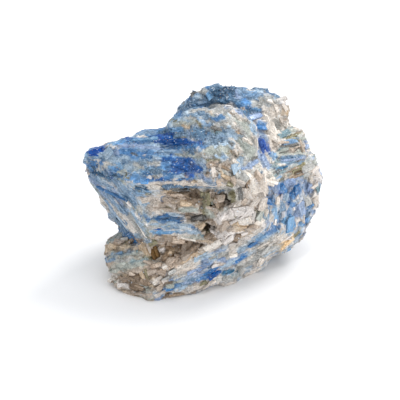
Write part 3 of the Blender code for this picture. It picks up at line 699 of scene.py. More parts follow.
# %% Veins of the earthy minerals
EARTHY_VEINS = {
    "beige": [
        (84, 169, 85, 172, 0.8), (210, 112, 213, 115, 0.4), (228, 112, 232, 114, 0.5),
        (214, 162, 228, 167, 1.8), (206, 170, 214, 169, 0.8), (206, 176, 230, 182, 1.1),
        (208, 166, 214, 164, 0.7), (272, 99, 284, 98, 0.7), (268, 112, 284, 113, 1),
        (290, 150, 303, 146, 1.1), (310, 168, 317, 182, 1), (152, 206, 178, 204, 3),
        (218, 222, 230, 223, 0.8), (217, 225, 219, 234, 1.2), (222, 227, 230, 227, 0.9),
        (249, 230, 256, 226, 1.4), (150, 238, 166, 237, 1), (176, 244, 184, 246, 1),
        (192, 252, 198, 248, 1), (107, 267, 114, 268, 1.2), (132, 270, 150, 267, 1),
        (134, 272, 140, 276, 0.8), (152, 274, 164, 270, 1.5), (160, 276, 163, 284, 0.8),
        (132, 271, 138, 275, 0.8), (194, 284, 204, 282, 1.1), (112, 285, 128, 295, 0.8),
        (128, 295, 151, 302, 1), (162, 300, 182, 293, 1.2), (170, 295, 200, 293, 0.9),
    ],
    "tan": [
        (157, 142, 158, 144, 0.4), (163, 192, 176, 192, 0.6), (183, 126, 190, 124, 0.8),
        (232, 151, 238, 153, 1), (222, 172, 231, 179, 0.55), (242, 109, 245, 109, 0.55),
        (277, 114, 286, 110, 1), (289, 176, 294, 176, 0.6), (246, 176, 250, 182, 1),
        (266, 188, 274, 184, 0.9), (242, 206, 248, 206, 0.6), (180, 204, 190, 205, 0.9),
        (171, 200, 176, 203, 0.7), (199, 224, 203, 228, 0.7), (148, 234, 170, 237, 0.5),
        (237, 227, 246, 224, 1.2), (200, 225, 204, 226, 0.7), (214, 240, 221, 243, 0.8),
        (143, 246, 150, 252, 1.8), (168, 252, 172, 256, 1.4), (184, 262, 192, 264, 1),
        (109, 247, 118, 245, 1.3), (121, 248, 128, 246, 0.9), (199, 256, 205, 252, 0.45),
        (184, 261, 196, 254, 0.9), (240, 237, 252, 231, 0.5), (280, 245, 287, 243, 0.6),
        (268, 248, 280, 244, 0.6),
    ],
    "brown": [
        (226, 123, 229, 124, 0.5), (236, 132, 240, 134, 0.55), (211, 164, 219, 167, 0.8),
        (206, 173, 216, 175, 0.7), (285, 103, 287, 107, 0.5), (277, 99, 280, 99, 0.4),
        (278, 119, 288, 118, 0.55), (296, 149, 298, 148, 0.6), (302, 145, 304, 150, 0.45),
        (294, 172, 303, 168, 1.9), (290, 171, 303, 169, 1.3), (286, 138, 300, 132, 0.45),
        (311, 176, 312, 180, 0.45), (268, 194, 272, 195, 0.5), (244, 186, 250, 190, 0.9),
        (250, 192, 252, 196, 0.4), (176, 193, 196, 194, 1.5), (186, 200, 198, 201, 1.5),
        (217, 198, 221, 206, 1.5), (216, 195, 222, 195, 0.8), (182, 216, 190, 214, 1),
        (214, 207, 222, 208, 1.1), (204, 222, 212, 220, 1), (234, 240, 240, 233, 0.8),
        (206, 236, 214, 238, 1.2), (213, 222, 216, 224, 0.7), (126, 239, 138, 242, 1),
        (132, 277, 150, 275, 2), (118, 278, 130, 280, 1.1), (131, 286, 142, 289, 1.7),
        (156, 288, 164, 284, 1), (152, 272, 170, 282, 1.5), (156, 276, 166, 272, 0.9),
        (118, 291, 140, 298, 0.5), (150, 291, 160, 291, 0.7), (162, 297, 200, 296, 0.8),
        (162, 299, 196, 297, 0.6),
    ],
    "buff": [
        (170, 196, 184, 198, 1.2), (206, 193, 212, 196, 0.8), (164, 240, 200, 246, 3.5),
        (174, 262, 192, 252, 3), (172, 274, 176, 268, 1.3),
    ],
    # Most of these dark brown veins are painted shade: they darken small hollows, where the rock is also
    # sunk by 1.2 mm.
    "dark_brown": [
        (295, 171, 299, 172, 0.45), (191, 194, 199, 196, 1.2), (210, 206, 212, 204, 0.7),
        (225, 197, 227, 203, 1.4), (183, 191, 187, 192, 0.45), (166, 191, 172, 191, 0.4),
        (205, 228, 212, 229, 2), (166, 246, 168, 247, 0.5), (178, 255, 180, 257, 0.5),
        (117, 280, 122, 281, 0.5),
    ],
    "amber": [
        (153, 256, 158, 252, 1.5),
    ],
    "gold": [
        (224, 175, 228, 177, 0.45), (281, 247, 291, 238, 1.6),
    ],
    "dark_grey": [
        (172, 138, 184, 138, 0.7), (117, 178, 118, 179, 0.45), (136, 153, 137, 156, 0.8),
        (161, 188, 178, 187, 1.05), (186, 187, 196, 187, 0.6), (210, 126, 218, 129, 1.15),
        (231, 143, 232, 145, 0.5), (235, 154, 237, 156, 0.5), (253, 160, 258, 158, 0.5),
        (230, 172, 237, 176, 0.6), (203, 173, 209, 175, 0.75), (218, 171, 222, 173, 0.55),
        (212, 168, 224, 169, 0.6), (214, 164, 228, 170, 0.7), (192, 95, 196, 91, 1.3),
        (286, 147, 298, 145, 0.45), (276, 172, 284, 169, 0.55), (290, 181, 294, 182, 0.4),
        (280, 158, 302, 161, 0.45), (280, 145, 300, 141, 0.4), (284, 152, 300, 149, 0.4),
        (202, 194, 203, 208, 0.9), (240, 189, 241, 198, 0.8), (192, 217, 205, 218, 1.5),
        (226, 226, 232, 225, 0.5), (248, 226, 252, 223, 0.6), (158, 262, 164, 262, 0.8),
        (117, 247, 122, 248, 0.5), (129, 245, 139, 244, 0.9), (124, 263, 126, 263, 0.4),
        (146, 276, 150, 284, 0.7), (158, 290, 162, 286, 0.6), (116, 253, 136, 249, 0.5),
        (260, 257, 264, 257, 0.55), (246, 267, 248, 266, 0.45), (198, 288, 206, 284, 0.55),
        (275, 232, 277, 234, 0.5), (120, 290, 146, 293, 0.6),
    ],
    "olive": [
        (95, 169, 97, 170, 0.5), (125, 172, 127, 180, 0.5), (196, 122, 200, 124, 0.55),
        (227, 152, 230, 154, 0.6), (208, 161, 219, 160, 0.8), (232, 181, 240, 180, 0.7),
        (164, 124, 171, 119, 1.5), (284, 139, 298, 134, 0.6), (284, 180, 290, 179, 0.6),
        (306, 202, 310, 206, 0.6), (253, 211, 256, 213, 0.7), (203, 193, 204, 212, 1.3),
        (208, 196, 212, 199, 0.8), (208, 204, 213, 202, 1), (231, 193, 234, 201, 1.3),
        (166, 208, 180, 208, 0.6), (207, 212, 210, 216, 0.7), (233, 213, 236, 215, 0.8),
        (205, 224, 206, 236, 0.8), (216, 208, 220, 210, 0.8), (152, 240, 158, 243, 0.9),
        (146, 256, 151, 258, 0.7), (134, 187, 148, 195, 0.7), (142, 229, 146, 233, 0.6),
        (120, 240, 128, 245, 1.2), (146, 272, 149, 281, 1.2), (203, 282, 207, 283, 0.7),
        (295, 237, 300, 231, 0.9),
    ],
}
print("earthy veins:", sum(map(len, EARTHY_VEINS.values())))

# %% Veins laid on the rock
def seen(places):
    """Places in millimetres as the camera sees them: across, up, and how far they stand forward."""
    across, high, forward = ((places - np.array(LOOK_AT) / MM) @ np.array([right, up, back]).T).T
    nearer = 1 - forward * MM / DISTANCE
    return np.array([across / nearer, high / nearer, forward]).T


def on_face(u, v):
    """A place of the map: across and up in millimetres, and how far the rock stands forward there."""
    return seen(np.array([on_rock(u, v)[0] / MM]))[0]


veins = []
for mineral, strokes in (BLUE_VEINS | PALE_VEINS | EARTHY_VEINS).items():
    for from_u, from_v, to_u, to_v, width in strokes:
        ends = on_face(from_u, from_v), on_face(to_u, to_v)
        veins.append((MINERAL_NAMES.index(mineral), *ends, width / 2))
print(len(veins), "veins on", len({mineral for mineral, *_ in veins}), "minerals")

# %% Shares of the minerals
VEIN_EDGE = 4.0
DEPTH_REACH = 6.0
FACING_FADE = 0.15
TINY = 1e-9


def mineral_shares(places, facing, sheaf_of, growth):
    """How much of every mineral is at each place. facing is 1 where the rock faces the camera."""
    shares = np.zeros((len(places), len(MINERAL_NAMES)))
    for number, sheaf in enumerate(sheaves):
        here = np.flatnonzero(sheaf_of == number)
        vigour = np.exp(growth[here, : len(sheaf.minerals)])
        vigour /= vigour.sum(axis=1, keepdims=True)
        for kind, share in zip(sheaf.minerals, vigour.T):
            shares[here, kind] += share
    shares *= math.exp(-VEIN_EDGE)
    face = seen(places)
    fade = np.clip(facing / FACING_FADE, 0, 1)
    for mineral, start, end, reach in veins:
        run = end[:2] - start[:2]
        part = np.clip((face[:, :2] - start[:2]) @ run / max(run @ run, TINY), 0, 1)
        middle = start + part[:, None] * (end - start)
        gap = np.linalg.norm(face[:, :2] - middle[:, :2], axis=1) / reach
        deep = (face[:, 2] - middle[:, 2]) / DEPTH_REACH
        shares[:, mineral] += fade * np.exp(-VEIN_EDGE * (gap**2 + deep**2))
    return shares / shares.sum(axis=1, keepdims=True)


# %% [markdown]
# ## The skin of the rock
#
# The solid is remeshed into a fine, even skin, and every point of it is told which blade it belongs
# to. Blades are cells of a Voronoi pattern, stretched along the sheaf. Each cell is lifted, lowered
# and tilted as one piece, so that neighbours break off at different heights, and it takes the colour
# of the mineral at its middle. A painted bump could look alike from the front, but only real steps
# hold up from all sides.

# %% Remesh
SKIN_VOXEL = 0.352 * MM


def plain_mesh(obj):
    """Turns an object's modifiers into its mesh."""
    graph = bpy.context.evaluated_depsgraph_get()
    obj.data = bpy.data.meshes.new_from_object(
        obj.evaluated_get(graph), preserve_all_data_layers=True, depsgraph=graph
    )
    obj.modifiers.clear()


def solid_to_skin(bm):
    mesh = bpy.data.meshes.new("kyanite_skin")
    bm.to_mesh(mesh)
    obj = add_object("kyanite_skin", mesh)
    remesh = obj.modifiers.new("skin", "REMESH")
    remesh.mode = "VOXEL"
    remesh.voxel_size = SKIN_VOXEL
    plain_mesh(obj)
    return obj


def read(what, name, width):
    values = np.empty(len(what) * width)
    what.foreach_get(name, values)
    return values.reshape(-1, width)


def triangle_count(mesh):
    return sum(len(face.vertices) - 2 for face in mesh.polygons)


skin = solid_to_skin(rock_bm)
points = read(skin.data.vertices, "co", 3)
normals = read(skin.data.vertices, "normal", 3)
print("skin:", len(points), "points,", triangle_count(skin.data), "triangles")

# %% Which sheaf, and which blade of it
SHEAF_WARP, SHEAF_WARP_SIZE = 2.2, 5.0
BLADE_WARP, BLADE_WARP_SIZE = 0.5, 3.0
COARSE_SIZE, FINE_SIZE = 2.2, 0.9
# Odd numbers that turn a cell's middle into chances of its own.
CHANCE_KEY, LEAN_KEY = 53.7, 31.3
# Without a seed of its own, noise_vector takes one from the clock.
NOISE_SEED = 1


def warped(places, size, amount):
    """Places in millimetres, pushed about by smooth noise."""
    pushes = [noise.noise_vector(Vector(place) / size) for place in places]
    return places + amount * np.array(pushes)


def sheaf_at(places):
    moved = warped(places, SHEAF_WARP_SIZE, SHEAF_WARP)
    gaps = [np.linalg.norm(moved - np.array(s.place), axis=1) / s.reach for s in sheaves]
    return np.argmin(gaps, axis=0)


def blades_at(places, sheaf_of, size):
    """For each place: its blade's middle, random numbers, lean and distance to the blade's edge."""
    middles = np.empty((len(places), 3))
    chances = np.empty((len(places), 3))
    lean = np.empty(len(places))
    edge = np.empty(len(places))
    for i, place in enumerate(places):
        sheaf = sheaves[sheaf_of[i]]
        counted = sheaf.to_blades(Vector(place), size)
        gaps, found = noise.voronoi(counted)
        middles[i] = sheaf.from_blades(found[0], size)
        chances[i] = noise.cell_vector(found[0] * CHANCE_KEY)
        tilt = noise.cell_vector(found[0] * LEAN_KEY) - Vector(CELL_CENTRE)
        lean[i] = (counted - found[0]).dot(tilt)
        edge[i] = gaps[1] - gaps[0]
    return middles, chances, lean, edge


noise.seed_set(NOISE_SEED)
millimetres = points / MM
sheaf_of = sheaf_at(millimetres)
bent = warped(millimetres, BLADE_WARP_SIZE, BLADE_WARP)
_, coarse_chance, coarse_lean, _ = blades_at(bent, sheaf_of, COARSE_SIZE)
middles, fine_chance, fine_lean, fine_edge = blades_at(bent, sheaf_of, FINE_SIZE)
print("blades:", len(np.unique(fine_chance[:, 0])))

# %% Minerals
GROWTH_SIZE = 1.6
GROWTH_SHARP = 9.0
GROWTH_LUCK = 0.7
KIND_GAP = 17.3
LUCK_STEP, LUCK_START = 3.7, 5.3
RAGGED_SIZE, RAGGED = 1.2, 0.5
BLADE_SHARE = 0.4


def growth_at(places, sheaf_of, chance):
    """How well each mineral of the sheaf grew here: smooth noise along the blades, and chance."""
    most = max(len(sheaf.minerals) for sheaf in sheaves)
    values = np.empty((len(places), most))
    for i, place in enumerate(places):
        counted = sheaves[sheaf_of[i]].to_blades(Vector(place), GROWTH_SIZE)
        for kind in range(most):
            values[i, kind] = noise.noise(counted + Vector((kind * KIND_GAP, 0, 0)))
    luck = chance[:, None] * (np.arange(most) * LUCK_STEP + LUCK_START) % 1
    return GROWTH_SHARP * (values + GROWTH_LUCK * luck)


growth = growth_at(bent, sheaf_of, fine_chance[:, 1])
ragged = warped(millimetres, RAGGED_SIZE, RAGGED)
facing = normals @ np.array(back)
shares = mineral_shares(ragged + BLADE_SHARE * (middles - bent), facing, sheaf_of, growth)
habit_share = shares @ HABIT
print({habit: round(float(share), 2) for habit, share in zip(HABITS, habit_share.mean(axis=0))})

# %% Lift, lower and tilt the blades
# For each habit: the step and the tilt of coarse bundles, then of fine blades, in millimetres.
RELIEF = {
    "blade": (0.20, 0.30, 0.12, 0.18),
    "flake": (0.25, 0.45, 0.18, 0.35),
    "grain": (0.12, 0.18, 0.12, 0.18),
    "block": (0.25, 0.40, 0.15, 0.30),
}
GROOVE, GROOVE_WIDTH = 0.10, 0.1
FLAT_BASE = 0.4 * MM
FACES_DOWN = -0.5

coarse_step, coarse_tilt, fine_step, fine_tilt = (habit_share @ np.array(list(RELIEF.values()))).T
height = coarse_step * (coarse_chance[:, 0] * 2 - 1) + coarse_tilt * coarse_lean
height += fine_step * (fine_chance[:, 0] * 2 - 1) + fine_tilt * fine_lean
height += shares @ RISE - GROOVE * np.exp(-fine_edge / GROOVE_WIDTH)
on_base = (points[:, 2] < FLAT_BASE) & (normals[:, 2] < FACES_DOWN)
height[on_base] = 0
moved = points + normals * height[:, None] * MM
moved[:, 2] = np.maximum(moved[:, 2], 0)
skin.data.vertices.foreach_set("co", moved.ravel())
print("relief, mm: from", height.min().round(2), "to", height.max().round(2))

# %% Colour each blade
SHADE_SPREAD = 0.16
PAINTED_GROOVE_SHADE, SHADE_WIDTH = 0.15, 0.12
BLADE_BLEND = 0.45
CLEAR_OF_TABLE = 1.0 * MM
FIELDS = {"FLOAT": "value", "FLOAT_VECTOR": "vector", "FLOAT_COLOR": "color"}


def store(mesh, name, values, kind="FLOAT", domain="POINT"):
    layer = mesh.attributes.new(name, kind, domain)
    layer.data.foreach_set(FIELDS[kind], np.ascontiguousarray(values, np.float32).ravel())


def store_mineral(mesh, tint, veil, gloss, glitter, strand):
    """What the finishes of rock and crystals read from a mesh."""
    for name, colours in (("tint", tint), ("veil", veil)):
        opaque = np.ones((len(colours), 1))
        store(mesh, name, np.hstack((np.clip(colours, 0, 1), opaque)), "FLOAT_COLOR")
    store(mesh, "gloss", gloss)
    store(mesh, "glitter", glitter)
    store(mesh, "strand", strand, "FLOAT_VECTOR")


blend = BLADE_BLEND * fine_chance[:, 2:3]
# Each blade's tint darkens near its edge: painted shade in the grooves between blades.
painted_groove_shade = PAINTED_GROOVE_SHADE * np.exp(-fine_edge / SHADE_WIDTH)
shade = 1 + SHADE_SPREAD * (fine_chance[:, 1:2] - 0.5) - painted_groove_shade[:, None]
main, second = shares @ MAIN, shares @ SECOND
tint = (main * (1 - blend) + second * blend) * shade
counted = [sheaves[number].to_blades(Vector(place)) for number, place in zip(sheaf_of, bent)]
store_mineral(skin.data, tint, second * shade, shares @ GLOSS, shares @ GLITTER, counted)
directions = np.array([sheaf.along for sheaf in sheaves])
store(skin.data, "along", directions[sheaf_of], "FLOAT_VECTOR")
store(skin.data, "outward", normals, "FLOAT_VECTOR")
off_table = points[:, 2] > CLEAR_OF_TABLE
for number, habit in enumerate(HABITS):
    store(skin.data, habit, habit_share[:, number] ** 2 * off_table)
print("mean tint:", tint.mean(axis=0).round(2))

# %% [markdown]
# ## Crystals that stand out
#
# Some crystals are large enough to be known one by one: the two blades at the tip of the plate, the
# glassy ledge, the prisms in the valley. Each is a small bundle of laths, because a kyanite crystal
# splits along its length. A lath is a stepped, six-sided bar with broken ends, laid on the rock
# between two places that the camera sees. Quartz, feldspar and clots of mica break into blocks
# instead, with a flat cut at each corner. The skin alone could be raised there, but it is too soft
# at the edges for a clean crystal.

# %% A lath
LATH_PROFILE = [(-0.5, -1.0), (0.5, -1.0), (0.5, 0.1), (0.3, 0.42), (-0.28, 0.5), (-0.5, 0.2)]
STEP_LENGTH = 0.9
SLANT = 0.5
SWELL_STEP, THINNEST, THICKEST = 0.12, 0.7, 1.1
END_STEPS, END_SHRINK, END_SHADE = 1.2, 0.35, 0.15
POINT_SHADE = 0.08
SIDE_SHARE, FACE_SHARE = 0.8, 0.2
FIBRE = (4.0, 0.9, 0.9)
FIBRE_ROOM = 50


def random_vector(rng, low, high):
    return Vector([rng.uniform(low, high) for _ in range(3)])


def set_down(bm, spot):
    """A new point from a place in millimetres, never below the table."""
    return bm.verts.new((spot.x * MM, spot.y * MM, max(spot.z, 0.0) * MM))


def in_fibres(begin, local):
    """A place in the crystal, counted in fibres from a random start."""
    return begin + Vector([value / size for value, size in zip(local, FIBRE)])


def bridged(bm, rings):
    """Joins rings of points into a closed bar, and tells which side each long face is on."""
    sides = []
    for first, second in zip(rings, rings[1:]):
        for i in range(len(first)):
            j = (i + 1) % len(first)
            bm.faces.new((first[i], second[i], second[j], first[j]))
            sides.append(i)
    bm.faces.new(rings[0])
    bm.faces.new(reversed(rings[-1]))
    return sides


def lath(bm, points, facets, start, end, out, width, depth, shade, rng):
    """Adds one stepped bar, in millimetres, with a shade and a place in its fibres for each point."""
    run = end - start
    along = run.normalized()
    side = out.cross(along).normalized()
    rise = along.cross(side)
    count = max(3, round(run.length / STEP_LENGTH))
    slant = [rng.uniform(-SLANT, SLANT) for _ in range(2)]
    begin = random_vector(rng, 0, FIBRE_ROOM)
    rings = []
    swell = 1.0
    for number in range(count + 1):
        part = number / count
        swell = min(THICKEST, max(THINNEST, swell + rng.uniform(-SWELL_STEP, SWELL_STEP)))
        ending = max(0.0, 1 - min(part, 1 - part) * count / END_STEPS)
        shrink = 1 - END_SHRINK * ending * rng.random()
        ring = []
        for across, high in LATH_PROFILE:
            shift = (slant[0] * (1 - part) + slant[1] * part) * across * width
            lift = high * depth * (swell if high > 0 else 1) * shrink
            spot = start + run * part + along * shift + side * (across * width * shrink) + rise * lift
            ring.append(set_down(bm, spot))
            fibre = in_fibres(begin, (run.length * part + shift, across * width, high * depth))
            points.append((shade * (1 + END_SHADE * ending + POINT_SHADE * rng.uniform(-1, 1)), fibre))
        rings.append(ring)
    # Each long side and each end gets a brightness of its own: painted light and shade, as if each faced
    # the lamps its own way.
    bright = [rng.random() for _ in LATH_PROFILE]
    facets += [SIDE_SHARE * bright[i] + FACE_SHARE * rng.random() for i in bridged(bm, rings)]
    facets += [rng.random(), rng.random()]


# %% A block
CORNER_CUTS = 4
CUT_DEPTH = (0.32, 0.52)
ON_CUT = 1e-5
LONG, NARROW = (1.0, 1.35), (0.5, 0.75)
OFF_GRAIN = 0.6
BLOCK_TILT = 0.4
LATH_SHADE = 0.12


def cut_block(rng):
    """A box one unit wide, cut flat at its corners, as quartz and broken crystal are."""
    bm = bmesh.new()
    bmesh.ops.create_cube(bm, size=1.0)
    for _ in range(CORNER_CUTS):
        way = random_vector(rng, -1, 1).normalized()
        everything = bm.verts[:] + bm.edges[:] + bm.faces[:]
        spot = way * rng.uniform(*CUT_DEPTH)
        bmesh.ops.bisect_plane(
            bm, geom=everything, dist=ON_CUT, plane_co=spot, plane_no=way, clear_outer=True
        )
        bmesh.ops.holes_fill(bm, edges=bm.edges, sides=0)
    bmesh.ops.recalc_face_normals(bm, faces=bm.faces)
    return bm


def block(bm, points, facets, spot, out, along, size, rise, rng):
    """Adds one block, in millimetres, sunk into the rock and more or less along its grain."""
    shape = cut_block(rng)
    grain = Matrix.Rotation(rng.uniform(-OFF_GRAIN, OFF_GRAIN), 3, out) @ along
    across = (grain - out * grain.dot(out)).normalized()
    side = out.cross(across)
    sizes = (size * rng.uniform(*LONG), size * rng.uniform(*NARROW), 2.0 * rise)
    begin = random_vector(rng, 0, FIBRE_ROOM)
    shade = 1 + LATH_SHADE * rng.uniform(-1, 1)
    turns = [Matrix.Rotation(rng.uniform(-BLOCK_TILT, BLOCK_TILT), 3, axis) for axis in (across, side)]
    made = {}
    for vert in shape.verts:
        local = [value * length for value, length in zip(vert.co, sizes)]
        corner = turns[0] @ turns[1] @ (across * local[0] + side * local[1] + out * local[2])
        made[vert] = set_down(bm, spot + corner)
        points.append((shade, in_fibres(begin, local)))
    for face in shape.faces:
        bm.faces.new([made[vert] for vert in face.verts])
        # Each face gets a painted brightness of its own, as if it faced the lamps its own way.
        facets.append(rng.random())
    shape.free()
